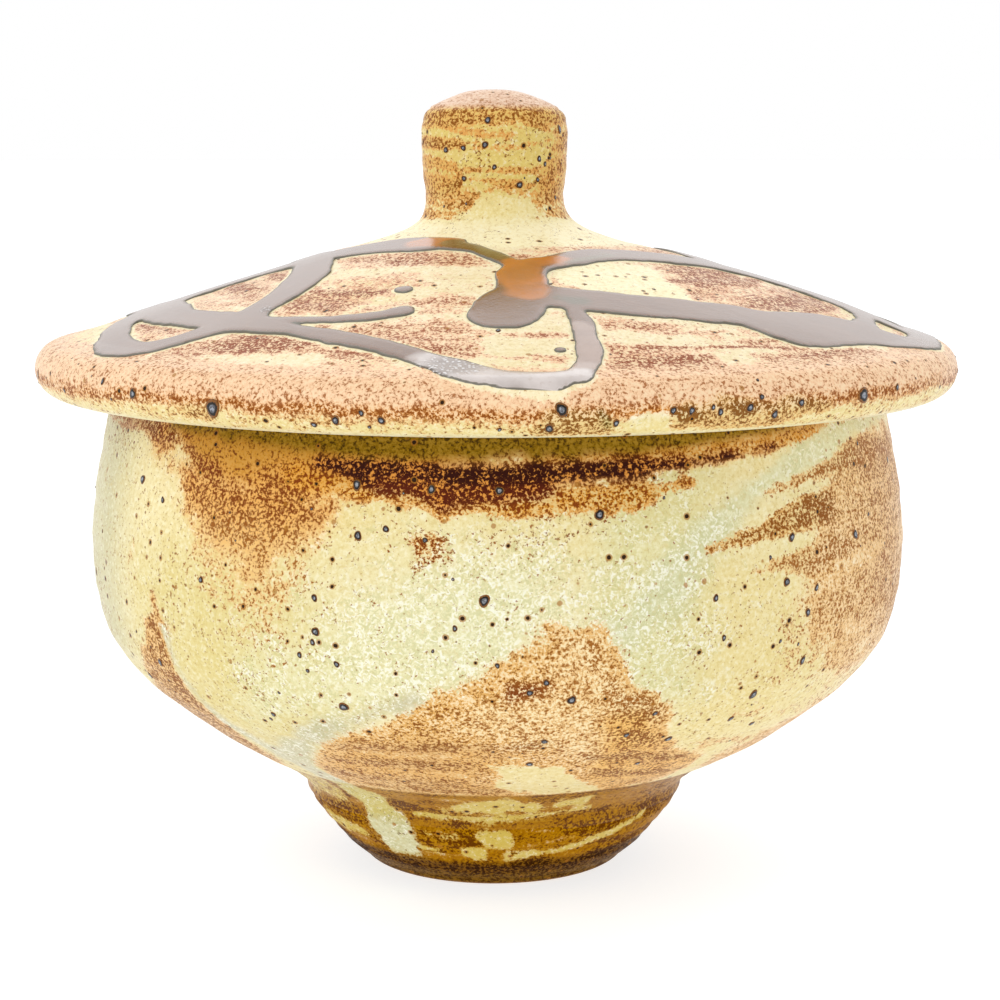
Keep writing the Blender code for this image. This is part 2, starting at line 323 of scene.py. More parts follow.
class Nodes:
    """A short way to write a node tree. Sockets are named by keyword, with _ for a space."""

    def __init__(self, owner, place="Object"):
        owner.use_nodes = True
        self.owner, self.tree = owner, owner.node_tree
        self.place = self.add("TexCoord").outputs[place]

    def put(self, socket, value):
        if isinstance(value, bpy.types.NodeSocket):
            self.tree.links.new(value, socket)
        elif isinstance(value, (int, float)):
            socket.default_value = value
        else:
            missing = len(socket.default_value) - len(value)
            socket.default_value = [*value] + [1.0] * missing

    def add(self, kind, settings=(), **inputs):
        node = self.tree.nodes.new("ShaderNode" + kind)
        for name, value in dict(settings).items():
            setattr(node, name, value)
        self.fill(node, **inputs)
        return node

    def fill(self, node, **inputs):
        for name, value in inputs.items():
            self.put(node.inputs[name.replace("_", " ")], value)

    def attribute(self, name, output="Fac"):
        return self.add("Attribute", {"attribute_name": name}).outputs[output]

    def math(self, operation, first, second):
        node = self.add("Math", {"operation": operation})
        self.put(node.inputs[0], first)
        self.put(node.inputs[1], second)
        return node.outputs[0]

    def plus(self, first, second):
        return self.math("ADD", first, second)

    def minus(self, first, second):
        return self.math("SUBTRACT", first, second)

    def times(self, first, second):
        return self.math("MULTIPLY", first, second)

    def ramp(self, value, low, high, to_low=0.0, to_high=1.0):
        """The value from low to high, eased into the span from to_low to to_high."""
        node = self.add(
            "MapRange", {"interpolation_type": "SMOOTHSTEP"},
            Value=value, From_Min=low, From_Max=high, To_Min=to_low, To_Max=to_high,
        )
        return node.outputs["Result"]

    def mix(self, share, first, second):
        return self.add("Mix", {"data_type": "RGBA"}, Factor=share, A=first, B=second).outputs["Result"]

    def noise(self, size_mm, detail=2.0, rough=0.5, warp=0.0, offset=0.0):
        """Noise whose grain is about size_mm across."""
        node = self.add(
            "TexNoise", {"noise_dimensions": "4D"},
            Vector=self.place, W=offset, Scale=1 / (size_mm * MM),
            Detail=detail, Roughness=rough, Distortion=warp,
        )
        return node.outputs["Fac"]

    def cells(self, size_mm, place=None):
        """Distance in cells to the nearest of a scatter of points, and a random colour for each."""
        node = self.add("TexVoronoi", Vector=place or self.place, Scale=1 / (size_mm * MM))
        return node.outputs["Distance"], node.outputs["Color"]

    def specks(self, cell_mm, bare, largest, place):
        """Distance in cells to the nearest of a scatter of dots and that dot's radius.

        bare is the share of the cells that stay empty, largest the greatest radius, in cells.
        """
        distance, random = self.cells(cell_mm, place)
        pick = self.add("SeparateColor", Color=random).outputs["Red"]
        return distance, self.ramp(pick, bare, 1.0, -0.04, largest)

    def bent(self, amount_mm, size_mm):
        """The object's coordinates pushed about by noise, so that cells lose their roundness."""
        stir = self.add("TexNoise", Vector=self.place, Scale=1 / (size_mm * MM)).outputs["Color"]
        push = self.add("VectorMath", {"operation": "MULTIPLY_ADD"})
        for socket, value in zip(push.inputs, (stir, (amount_mm * MM,) * 3, self.place)):
            self.put(socket, value)
        return push.outputs["Vector"]

    def bump(self, height, depth_mm):
        return self.add("Bump", Height=height, Distance=depth_mm * MM, Strength=1.0).outputs["Normal"]


def new_material(name):
    return Nodes(bpy.data.materials.new(name))


def finished(n, colour, roughness, ior=1.5, **others):
    """The material, once the inputs of its surface shader are filled."""
    shader = n.tree.nodes["Principled BSDF"]
    n.fill(shader, Base_Color=colour, Roughness=roughness, IOR=ior, **others)
    return n.owner


def mottled_glaze(name, shine=0.1):
    """Pale stoneware glaze that breaks to tan under dark grains, with crystals and iron specks."""
    n = new_material(name)
    cover = n.attribute("glaze_cover")
    density = n.attribute("glaze_grain")
    crystal = n.attribute("glaze_crystal")
    base, tan, dark = (n.attribute("glaze_" + part, "Color") for part in ("base", "tan", "dark"))

    # Pale glaze: cloudy and finely curdled, with milky crystals where it is thick.
    cloud = n.noise(7.0, 3.0, 0.55)
    pale = n.mix(n.ramp(cloud, 0.38, 0.68, 0.0, 0.3), base, n.mix(0.4, base, srgb(252, 243, 208)))
    curd = n.noise(0.75, 4.0, 0.7, 0.3, offset=3.0)
    pale = n.mix(n.ramp(curd, 0.49, 0.66, 0.0, 0.75), pale, n.mix(0.5, base, srgb(206, 176, 92)))
    pale = n.mix(n.ramp(curd, 0.49, 0.36, 0.0, 0.8), pale, n.mix(0.5, base, srgb(255, 250, 226)))
    thick = n.plus(n.noise(3.0, 3.0, 0.6, offset=8.0), n.times(crystal, 0.35))
    flake = n.noise(0.9, 2.5, 0.6, 1.6, offset=5.0)
    between = n.times(n.ramp(flake, 0.50, 0.40), n.ramp(thick, 0.58, 0.82, 0.0, 0.75))
    pale = n.mix(between, pale, n.mix(0.55, base, srgb(188, 186, 126)))
    milky = n.times(n.ramp(flake, 0.52, 0.60), n.ramp(thick, 0.56, 0.82, 0.0, 0.8))
    pale = n.mix(milky, pale, srgb(250, 248, 230))

    # Broken glaze: one fine grit decides its ragged edge, its light grains and its dark ones.
    fine = n.noise(0.48, 4.0, 0.66, 0.35)
    patch = n.noise(2.0, 3.0, 0.6, 0.6, offset=2.0)
    grit = n.plus(n.times(fine, 0.78), n.times(patch, 0.22))
    ragged = n.plus(n.times(patch, -1.0), n.times(fine, -1.7))
    broken = n.ramp(n.plus(cover, n.plus(ragged, 1.35)), 0.26, 0.56)
    broken = n.times(broken, n.ramp(cover, 0.0, 0.12))
    light = n.mix(0.68, tan, base)
    tone = n.mix(n.ramp(grit, 0.49, 0.575), tan, light)
    level = n.plus(n.times(density, 0.19), 0.375)
    depth = n.minus(level, grit)
    tone = n.mix(n.ramp(depth, -0.045, 0.0, 0.0, 0.5), tone, n.mix(0.45, tan, dark))
    colour = n.mix(broken, pale, tone)
    grains = n.ramp(depth, -0.012, 0.028)
    colour = n.mix(n.times(grains, 0.95), colour, dark)

    # Iron specks: black ones with a brown halo, and many more that stay brown.
    shape = n.bent(0.22, 0.6)
    small, small_radius = n.specks(1.75, 0.78, 0.14, shape)
    colour = n.mix(n.ramp(n.minus(small_radius, small), -0.03, 0.05, 0.0, 0.85), colour, srgb(138, 88, 26))
    large, radius = n.specks(2.25, 0.12, 0.155, shape)
    halo = n.ramp(n.minus(n.times(radius, 1.7), large), 0.0, 0.05, 0.0, 0.75)
    colour = n.mix(halo, colour, srgb(172, 112, 36))
    dot = n.ramp(n.minus(radius, large), 0.0, 0.02)
    colour = n.mix(dot, colour, srgb(50, 30, 12))

    roughness = n.ramp(n.noise(2.2, 2.0, 0.5, offset=9.0), 0.3, 0.7, 0.28, 0.38)
    roughness = n.plus(roughness, n.times(grains, 0.12))
    skin = n.minus(n.noise(1.1, 3.0, 0.55, offset=4.0), n.times(grains, 0.5))
    normal = n.bump(n.minus(skin, n.times(dot, 0.8)), 0.05)
    return finished(n, colour, roughness, Normal=normal, Specular_IOR_Level=shine)


TRAIL_IOR = 2.1  # mirrors the room more than plain glass would


def trail_glaze():
    """Thick glossy brown glaze that mirrors the room. Its thin dark outline is painted shade along the steep
    edges, and some of the colours laid on it are painted reflection and highlight.
    """
    n = new_material("trail_glaze")
    colour = n.attribute("trail_colour", "Color")
    pool = n.noise(6.0, 3.0, 0.6, 0.5)
    colour = n.mix(n.ramp(pool, 0.35, 0.68, 0.0, 0.45), colour, n.mix(0.5, colour, srgb(70, 36, 14)))
    streak = n.noise(1.0, 3.0, 0.6, offset=3.0)
    colour = n.mix(n.ramp(streak, 0.5, 0.72, 0.0, 0.4), colour, n.mix(0.5, colour, srgb(150, 112, 84)))
    edge = n.attribute("trail_edge_shade")
    # Painted shade: the outline darkens where the trail's steep edge mirrors no bright light.
    colour = n.mix(n.ramp(edge, 0.35, 0.8), colour, srgb(84, 76, 52))
    froth_and_glint = n.attribute("trail_froth_and_glint")
    bubbles, _ = n.cells(0.62, n.bent(0.3, 0.8))
    blister = n.times(n.ramp(bubbles, 0.5, 0.2), froth_and_glint)
    colour = n.mix(n.times(froth_and_glint, 0.6), colour, srgb(96, 78, 70))
    # White blisters: froth at the front of the lid, a painted highlight at the left.
    colour = n.mix(n.times(blister, 0.9), colour, srgb(244, 242, 242))
    skin = n.plus(n.noise(0.5, 3.0, 0.6, offset=5.0), n.noise(2.6, 1.0, 0.5, offset=6.0))
    normal = n.bump(n.plus(skin, n.times(blister, 3.0)), 0.03)
    roughness = n.ramp(froth_and_glint, 0.0, 1.0, 0.2, 0.34)
    roughness = n.plus(roughness, n.times(edge, 0.3))
    return finished(n, colour, roughness, ior=TRAIL_IOR, Normal=normal)


def liner_glaze():
    """Smooth pale glaze for the surfaces that are seen only with the lid off."""
    n = new_material("liner_glaze")
    cloud = n.noise(7.0, 3.0, 0.55)
    colour = n.mix(n.ramp(cloud, 0.3, 0.7), srgb(232, 222, 180), srgb(244, 238, 208))
    fleck = n.noise(0.8, 2.0, 0.55, offset=2.0)
    colour = n.mix(n.ramp(fleck, 0.60, 0.70, 0.0, 0.45), colour, srgb(190, 140, 70))
    distance, random = n.cells(6.5)
    size = n.ramp(random, 0.5, 0.9, 0.0, 0.06)
    dot = n.ramp(n.minus(size, distance), 0.0, 0.015)
    colour = n.mix(dot, colour, srgb(74, 48, 26))
    normal = n.bump(n.noise(1.3, 3.0, 0.55, offset=4.0), 0.05)
    roughness = n.ramp(n.noise(2.5, 2.0, 0.5, offset=6.0), 0.3, 0.7, 0.2, 0.3)
    return finished(n, colour, roughness, Normal=normal)


def iron_spot_glaze():
    """The black ring and brown halo of a large iron spot, round a grey middle that is a painted reflection of
    the bright room on its glassy bead.
    """
    n = new_material("iron_spot")
    bloom = n.noise(0.35, 2.0, 0.6)
    rim = n.plus(n.attribute("spot_rim"), n.times(n.minus(bloom, 0.5), 0.5))
    # Painted reflection: the grey middle stands for the room mirrored in the glassy bead.
    core_glint = n.mix(n.ramp(bloom, 0.40, 0.62), srgb(84, 84, 88), srgb(160, 164, 172))
    colour = n.mix(n.ramp(rim, 0.34, 0.5), core_glint, srgb(26, 18, 10))
    colour = n.mix(n.ramp(rim, 0.66, 0.84), colour, srgb(136, 84, 28))
    normal = n.bump(bloom, 0.02)
    roughness = n.ramp(bloom, 0.3, 0.7, 0.18, 0.3)
    return finished(n, colour, roughness, Normal=normal, Specular_IOR_Level=0.3)


# ---- Shapes of the turned pieces, in millimetres ----

BOWL_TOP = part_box("bowl_body")[1].z / MM
SEAT = BOWL_TOP + GAP
KNOB_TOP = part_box("lid_knob")[1].z / MM
BRIM_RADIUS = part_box("lid_dome")[1].x / MM
BRIM_ROUND = 4.2
FOOT_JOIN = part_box("bowl_body")[0].z / MM
TRIM_LINE = 20.3  # the sharp edge where the trimming of the foot begins

BOWL_OUTER = [
    (63.3, BOWL_TOP - 1.3), (64.0, 75.5), (64.6, 72.5), (66.3, 63.5), (67.0, 53.0), (65.2, 42.0),
    (59.9, 34.0), (50.1, 26.0), (42.0, TRIM_LINE + 0.5),
]
BOWL_FOOT = [(40.6, TRIM_LINE - 0.2), (37.3, 18.1), (34.6, 16.0), (32.8, 14.2), (32.2, FOOT_JOIN)]
BOWL_INNER = [
    (58.3, BOWL_TOP - 1.4), (60.6, 65.0), (61.6, 54.0), (60.0, 44.0), (54.4, 35.2), (45.0, 27.4),
    (33.0, 21.6), (18.0, 18.5), (0.0, 17.8),
]
FOOT_OUTER = [(32.2, FOOT_JOIN), (30.8, 9.8), (28.4, 6.8), (26.2, 4.1), (24.5, 2.5), (23.2, 1.5)]
FOOT_BORE = [(17.4, 0.35), (19.4, 7.5), (22.0, FOOT_JOIN)]
LID_TOP = [
    (0.0, 103.9), (10.0, 103.9), (16.4, 103.8), (20.3, 103.0), (29.5, 100.7), (40.5, 97.5), (50.5, 94.4),
    (60.5, 91.1), (67.4, 88.4),
]
LID_VAULT = [(52.6, SEAT + 1.2), (51.3, 87.0), (40.0, 92.0), (25.0, 97.0), (0.0, 99.0)]
KNOB_SIDE = [
    (11.7, 122.9), (12.0, 121.0), (11.95, 117.0), (11.75, 113.5), (11.4, 110.5), (11.6, 108.4),
    (12.5, 106.6), (14.6, 105.1), (17.6, 103.9), (20.4, 103.02), (23.4, 102.1),
]
KNOB_ROOT = [(22.0, 101.6), (0.0, 101.6)]  # inside the lid
KNOB_DOME = [(0.0, KNOB_TOP), (4.4, KNOB_TOP - 0.45), (8.0, KNOB_TOP - 1.7), (10.4, KNOB_TOP - 2.8)]


def bowl_profile():
    (outer, _), (inner, _) = BOWL_OUTER[0], BOWL_INNER[0]
    middle, half = (outer + inner) / 2, (outer - inner) / 2
    shoulder = 1.35
    return np.vstack(
        [
            rounded(middle + half - shoulder, BOWL_TOP - shoulder, shoulder, 90, 8),
            curve(BOWL_OUTER, 0.8),
            curve(BOWL_FOOT, 0.6),
            [(31.6, FOOT_JOIN - 0.9), (30.5, FOOT_JOIN - 1.4), (25.5, FOOT_JOIN - 1.4)],
            even_line([(23.5, FOOT_JOIN + 0.02), (0.0, FOOT_JOIN + 0.02)], 4.0),
            curve(BOWL_INNER[::-1], 1.6),
            rounded(middle - half + shoulder, BOWL_TOP - shoulder, shoulder, 172, 90),
        ]
    )


def foot_profile():
    heel = 2.6
    return np.vstack(
        [
            [(31.2, FOOT_JOIN + 1.3), (31.9, FOOT_JOIN + 0.8)],
            curve(FOOT_OUTER, 0.55)[:-1],
            rounded(20.7, heel, heel, -33, -90, 0.3),
            even_line([(20.0, 0.0), (18.6, 0.0)], 0.7),
            rounded(18.3, 0.9, 0.9, -100, -190, 0.3),
            even_line(smooth_line(FOOT_BORE, 8)[3:], 1.0),
        ]
    )


def lid_profile():
    return np.vstack(
        [
            curve(LID_TOP, 0.55),
            rounded(BRIM_RADIUS - BRIM_ROUND, SEAT + BRIM_ROUND, BRIM_ROUND, 80, -90, 0.42),
            even_line([(BRIM_RADIUS - BRIM_ROUND - 1.2, SEAT), (53.4, SEAT)], 1.2),
            curve(LID_VAULT, 1.6, 8),
        ]
    )


def flange_profile():
    """The ring that drops into the mouth: round at the bottom, fused to the lid at the top."""
    inner, outer, low, high = 53.4, 57.2, 73.0, SEAT + 0.1
    lip = 1.2
    return np.vstack(
        [
            even_line([(outer, high), (outer, low + lip)], 0.8),
            rounded(outer - lip, low + lip, lip, -12, -90, 0.4),
            rounded(inner + lip, low + lip, lip, -90, -168, 0.4),
            even_line([(inner, low + lip), (inner, high)], 0.8),
        ]
    )


def knob_profile():
    corner = rounded(9.7, 122.4, 2.1, 62, 8, 0.3)
    return np.vstack([curve(KNOB_DOME, 0.5, 10), corner, curve(KNOB_SIDE, 0.45, 10)[1:], KNOB_ROOT])


def wave(angle, cycles, phase):
    return np.sin(np.radians(angle) * cycles + phase)


def as_thrown(angle, r, z):
    """The bowl's unevenness: shallow throwing rings above, the ridges of the trimmed foot below."""
    rings = 0.05 * np.sin(z / 1.25 + 0.5 * wave(angle, 1, 0.6)) + 0.04 * np.sin(z / 0.62 + wave(angle, 2, 1))
    oval = 0.22 * wave(angle, 2, 0.9) + 0.12 * wave(angle, 3, 2.1)
    share = smoothstep(30, 42, r) * smoothstep(TRIM_LINE, TRIM_LINE + 6, z)

    level = z + 0.35 * np.sin(np.radians(angle + 30)) + 0.012 * angle * smoothstep(175, 120, np.abs(angle))
    ridges = 0.07 * np.sin(level * 2.9) + 0.04 * np.sin(level * 6.3 + 1)
    outer = smoothstep(0.0, 1.2, r - 18.6 - 0.35 * z)
    low = smoothstep(2.0, 4.5, z) * smoothstep(TRIM_LINE + 0.2, TRIM_LINE - 1.2, z) * outer
    pared = (0.7 + 0.5 * wave(angle, 1, 0)) * smoothstep(TRIM_LINE + 4, TRIM_LINE - 3, z) * outer
    return r + (rings + oval) * share + ridges * low - pared, z


def lid_lean(angle, r):
    """How far the lid's top stands above or below its mean, highest on the right."""
    return 0.42 * np.sin(np.radians(angle)) * smoothstep(18, 42, r) * smoothstep(71, 56, r)


def lid_rings(angle, r):
    rings = 0.05 * np.sin(r / 0.95 + wave(angle, 1, 0.4)) + 0.04 * np.sin(r / 2.1 + 2 * wave(angle, 1, 2))
    return rings * smoothstep(20, 27, r) * smoothstep(72, 69, r)


def lid_thrown(angle, r, z):
    above = z > SEAT + BRIM_ROUND
    edge = 0.14 * wave(angle, 3, 0.8) + 0.1 * wave(angle, 5, 2.2)
    out = r + edge * smoothstep(66, 73, r)
    return out, z + np.where(above, lid_lean(angle, r) + lid_rings(angle, r), 0.0)


def knob_thrown(angle, r, z):
    """The knob leans a little and isn't quite round."""
    share = smoothstep(104.5, 110, z)
    squeeze = 0.16 * wave(angle, 2, 2.4) + 0.10 * wave(angle, 3, 0.2) - 0.3 * wave(angle, 1, 0)
    rings = 0.03 * np.sin(z * 2.3 + wave(angle, 1, 0)) + 0.03 * np.sin(z * 1.1 + 1.5)
    dip = 0.25 * wave(angle, 1, 1.9) * smoothstep(120, 127, z)
    return r + share * (squeeze + rings), z + dip * smoothstep(0, 6, r)


LID_LINE = lid_profile()
LID_LINE = LID_LINE[: LID_LINE[:, 0].argmax()]


def lid_height(x, y):
    """Height of the lid's top, without its throwing rings, at places seen from above."""
    r = np.hypot(x, y)
    angle = np.degrees(np.arctan2(x, -y))
    return np.interp(r, *LID_LINE.T) + lid_lean(angle, r)


# ---- Glaze layout ----


class Canvas:
    """Soft, ragged shapes drawn on a piece in two flat coordinates."""

    def __init__(self, points, u, v, spread=1.0):
        self.u, self.v, self.spread = u, v, spread
        self.ragged = fractal(points, 9.0, 4, seed=50)
        self.fine = fractal(points, 2.6, 2, seed=70)

    def draw(self, shape, soft, rough):
        """The mask of an area, given by its corners, or of a stroke, by points and half widths."""
        distance = line_distance if len(shape[0]) == 3 else polygon_distance
        gap = distance(self.u, self.v, [(point[0] * self.spread, *point[1:]) for point in shape])
        return 1 - smoothstep(-soft, soft, gap + rough * (1.5 * self.ragged + 0.8 * self.fine))


def breaks(shape, cover, grain, broken=None, tint=None, soft=1.0, rough=1.2):
    """A layer that breaks the glaze up. broken recolours the broken glaze there and tint the pale."""
    return dict(shape=shape, cover=cover, grain=grain, broken=broken, tint=tint, soft=soft, rough=rough)


def heals(shape, heal, tint=None, crystal=None, soft=1.0, rough=1.2):
    """A layer that makes the glaze whole again."""
    return dict(shape=shape, heal=heal, tint=tint, crystal=crystal, soft=soft, rough=rough)


def wash(glaze, canvas, layers, share=1.0):
    """Lays each layer of a list on the glaze in turn."""
    for layer in layers:
        mask = share * canvas.draw(layer["shape"], layer["soft"], layer["rough"])
        if layer.get("broken"):
            glaze.stain(mask, layer["broken"])
        if layer["tint"] is not None:
            glaze.tint(mask, layer["tint"])
        if "heal" in layer:
            glaze.heal(mask, layer["heal"], 0.6 * layer["heal"])
        else:
            glaze.break_up(mask, layer["cover"], layer["grain"])
        if layer.get("crystal"):
            glaze.crystal += mask * (layer["crystal"] - glaze.crystal)


SPREAD = 1.1  # millimetres of the bowl's wall in a degree round the axis

# The bowl's front, laid out as angle round the axis and height.
BOWL_LAYERS = [
    # Under the brim: smooth amber, then reddish grains that fade down the wall on the left.
    breaks([(-50, 81), (-50, 78.5), (-48, 75.5), (-44, 72), (-40, 70), (-24, 70), (-20, 71.5), (0, 75),
        (20, 75.5), (50, 77), (52, 81)], 1.0, 0.36, AMBER, tint=srgb(206, 154, 70), soft=1.5, rough=1.5),
    breaks([(-52, 77), (-46, 75.5), (-41, 71.5), (-30, 72), (-22, 70.5), (-20, 67), (-24, 63), (-30, 60),
        (-38, 61), (-44, 65), (-47.5, 70)], 0.95, 0.66, RED_GRAIN, tint=srgb(242, 188, 104), soft=4.6,
        rough=4.0),
    breaks([(-56, 77.5, 1.1), (-44, 74, 1.3), (-38, 70.5, 1.2)], 0.95, 0.8, RED_GRAIN),
    breaks([(-46, 66), (-41, 56), (-34, 49), (-27, 48), (-22, 56), (-18, 64)], 0.42, 0.36, RUST, soft=6.0,
        rough=5.0),
    breaks([(-76, 76.5, 0.8), (-62, 77, 1.0), (-54, 77.2, 1.0)], 0.8, 0.6, SCORCH),
    breaks([(-72, 74, 1.5), (-60, 74, 2.2)], 0.25, 0.35, SCORCH, soft=2.4),
    # The maroon band, with a rust fringe under it and clusters of specks below.
    breaks([(-26, 72, 1.5), (-14, 70.6, 1.5), (-6, 69.7, 1.8), (2, 69.3, 2.1), (10, 69.4, 1.9),
        (18, 69.7, 1.8), (25, 71.4, 1.0)], 0.95, 0.55, FRINGE, soft=1.2, rough=1.2),
    breaks([(2, 74.2, 1.0), (20, 74.6, 1.3), (36, 75.4, 1.2), (48, 76.4, 0.8)], 1.0, 0.5, FRINGE),
    breaks([(-23, 74.2, 0.7), (-18, 73.6, 1.3), (-13, 72.8, 2.0), (-8, 72, 2.6), (-3, 71.6, 2.8),
        (2, 72.2, 2.2), (6, 73, 1.6), (12, 73.4, 1.4), (20, 73.6, 1.3), (27, 74, 1.1), (33, 74.5, 0.8),
        (39, 75, 0.4)], 1.0, 0.8, MAROON, tint=srgb(250, 176, 78), soft=0.7, rough=1.3),
    breaks([(-14, 71, 0.9), (-4, 70.2, 1.2), (6, 70.9, 0.8)], 1.0, 0.74,
        (srgb(160, 72, 16), srgb(86, 26, 2))),
    breaks([(-6, 72.8, 0.9), (4, 73.4, 1.0), (14, 73.8, 0.8)], 1.0, 0.95, MAROON),
    breaks([(-10, 63.5, 1.0), (-8.5, 63.6, 1.1)], 0.6, 0.62, RED_GRAIN, soft=1.2),
    breaks([(-10, 60.5, 0.8), (-6, 61.8, 0.9)], 0.5, 0.58, RED_GRAIN, soft=1.2),
    breaks([(-14, 62.4, 0.6), (-12.5, 62.6, 0.7)], 0.5, 0.55, RED_GRAIN),
    breaks([(5, 64.6, 0.7), (14, 65.8, 0.8)], 0.25, 0.42, RED_GRAIN, soft=1.6),
    # Right under the brim: olive glaze, painted darker to stand for the shade the brim casts there.
    breaks([(-52, 81), (-50, 76.6), (-30, 75.8), (-10, 75.2), (10, 75.4), (30, 76.6), (50, 78), (54, 81)],
        1.0, 0.36, OLIVE, tint=srgb(176, 138, 44), soft=0.8, rough=0.9),
    # Right: rust that thins into wedges towards the middle.
    breaks([(46, 67), (54, 72.5), (66, 74), (80, 71), (104, 69), (108, 24), (92, 24), (84, 32), (76, 38),
        (66, 39), (56, 36), (50, 40), (46, 46), (43, 50), (42, 57), (45, 61)], 0.88, 0.52,
        tint=srgb(250, 222, 176), soft=4.4, rough=4.4),
    breaks([(33, 68, 0.3), (40, 69.8, 1.0), (46, 70.6, 1.4), (53, 72, 2.2), (62, 72.5, 2.4), (74, 71, 2.5)],
        0.9, 0.75),
    breaks([(26, 61.6, 0.5), (34, 63.3, 1.6), (40, 64.8, 2.3), (47, 66, 2.6)], 0.95, 0.78, HONEY),
    breaks([(31, 57, 0.4), (37, 58.5, 1.4), (44, 58, 2.4), (50, 58, 3.4)], 0.85, 0.66),
    breaks([(36, 56), (36, 42), (48, 32), (62, 29), (76, 34), (70, 44), (50, 50)], 0.34, 0.34, soft=5.0,
        rough=5.0),
    breaks([(56, 74), (60, 62), (54, 54), (58, 46), (80, 44), (104, 60), (104, 74)], 0.95, 0.62,
        tint=srgb(238, 200, 146), soft=4.0, rough=4.0),
    breaks([(40, 26), (52, 30), (66, 36), (80, 38), (104, 30), (104, 24), (70, 22), (44, 22)], 0.72, 0.34,
        HONEY, tint=srgb(246, 220, 172), soft=3.0, rough=3.4),
    breaks([(30, 31, 0.5), (44, 29, 0.9), (58, 27, 1.0)], 0.55, 0.4, soft=1.2),
    breaks([(34, 36, 0.4), (46, 34, 0.8), (56, 32, 0.8)], 0.38, 0.3, soft=1.4),
    # The break low on the front: amber streaks on the left, a peak in the middle.
    breaks([(-35, 21.5), (-31, 29), (-25, 32.5), (-18, 35.5), (-10, 39.5), (-3, 43), (2, 46), (5, 50),
        (9, 51.8), (12.5, 51.2), (14.5, 48.5), (16, 45), (18, 41), (22, 38.5), (24, 33), (27, 30), (33, 28),
        (38, 26.5), (36, 22), (24, 20)], 0.92, 0.42, HONEY, tint=PEACH, soft=2.6, rough=2.8),
    breaks([(-6, 36), (4, 45), (8, 51), (12.5, 50.5), (15.5, 44), (22, 37.5), (23.5, 31), (14, 29.5),
        (4, 33)], 0.9, 0.3, RUST, tint=SHELL, soft=2.0, rough=2.2),
    breaks([(-36, 21), (-33, 27), (-26, 31), (-12, 34), (-2, 34), (2, 30), (-2, 25), (4, 20)], 1.0, 0.5,
        tint=srgb(238, 198, 134), soft=2.4, rough=2.6),
    breaks([(8, 50.5, 0.8), (11, 48.5, 1.6), (12, 46, 1.2)], 0.9, 0.56, soft=1.4, rough=1.8),
    breaks([(2, 42, 1.0), (6, 43.4, 1.4)], 0.9, 0.82, RED_GRAIN, soft=1.2, rough=1.6),
    breaks([(14, 38), (20, 38.5), (24, 33), (27, 30), (33, 28), (38, 26.5), (36, 22), (24, 20), (16, 24)],
        0.92, 0.45, HONEY, tint=srgb(250, 206, 126), soft=2.4, rough=2.4),
    breaks([(14, 43, 1.2), (17, 40, 2.4), (21, 37.5, 1.8)], 0.9, 0.68, soft=1.6, rough=2.0),
    breaks([(-24, 30.8, 0.4), (-8, 32.4, 0.6), (6, 33, 0.5)], 1.0, 0.66, STREAK),
    breaks([(-33, 24.6, 0.7), (-20, 23.8, 0.9), (-8, 23.4, 0.8)], 1.0, 0.66, STREAK),
    breaks([(-26, 22.0, 0.3), (-10, 21.8, 0.5), (2, 22, 0.3)], 1.0, 0.68, STREAK, soft=0.8),
    breaks([(-31, 27.6, 0.4), (-12, 28.4, 0.6), (-4, 28.8, 0.4)], 1.0, 0.64, STREAK, soft=0.8),
    breaks([(16, 34, 0.6), (22.5, 33, 0.9)], 1.0, 0.8, soft=0.7),
    breaks([(14, 29.8, 0.4), (24, 29, 0.6), (33, 27.4, 0.5)], 0.95, 0.74, STREAK, soft=0.6),
    breaks([(16, 26.4, 0.3), (26, 25, 0.5), (36, 24, 0.4)], 0.9, 0.72, STREAK, soft=0.5),
    heals([(-30, 26.2, 0.6), (-14, 26.3, 0.7), (-4, 26, 0.5)], 0.5, soft=0.6),
    heals([(-22, 30.2, 0.4), (-4, 30.8, 0.5)], 0.45, soft=0.5),
    heals([(-3, 29.6), (3, 30.3), (9, 29), (13, 26.2), (19, 22), (23, 20), (8, 20), (3, 23), (-1, 26)],
        0.06, tint=YELLOW, soft=0.9, rough=2.4),
    # Low on the left, with the run of thick milky glaze that divides it from the front.
    breaks([(-50.5, 51.5), (-48.3, 47), (-48, 38), (-46.5, 30), (-45, 25), (-52, 22), (-66, 23), (-80, 26),
        (-108, 27), (-108, 38), (-90, 36.5), (-80, 34), (-68, 33), (-61, 35), (-58, 40), (-54, 46)], 0.94,
        0.64, HONEY, tint=srgb(244, 210, 154), soft=1.8, rough=2.8),
    breaks([(-50, 49, 0.6), (-50, 42, 1.2), (-49, 34, 1.4)], 0.9, 0.74, rough=1.4),
    breaks([(-58, 52, 0.4), (-56.5, 57, 0.8), (-53.5, 62, 0.7)], 0.42, 0.35, soft=1.6, rough=1.6),
    heals([(-49, 47, 0.6), (-46.8, 38, 1.2), (-45.5, 31, 1.6), (-42.5, 27, 2.4), (-38, 26, 2.8),
        (-33, 28.8, 2.3), (-28, 32.6, 2.1), (-22, 35.6, 1.6), (-16, 38, 1.0), (-10, 41, 0.5)], 0.04,
        tint=WHITE_RUN, crystal=0.9, soft=1.5, rough=1.7),
    # The whitish run that crosses the right shoulder.
    heals([(30, 66.5, 0.8), (37, 70.8, 1.6), (44, 73.2, 2.2), (50, 74.6, 2.4), (56, 76.6, 1.8),
        (80, 78, 1.3)], 0.03, tint=srgb(226, 222, 176), crystal=0.6, soft=0.7, rough=1.2),
]
FOOT_RUN = [(-38.5, 25, 3.4), (-37, 19, 4.2), (-34.5, 13, 6.2), (-32, 9.5, 7.4), (-31.5, 7.6, 6.0)]
LEFT_RUN = [(-104, 18, 2.2), (-88, 19.5, 2.4), (-74, 19, 1.8), (-60, 19.5, 1.4)]


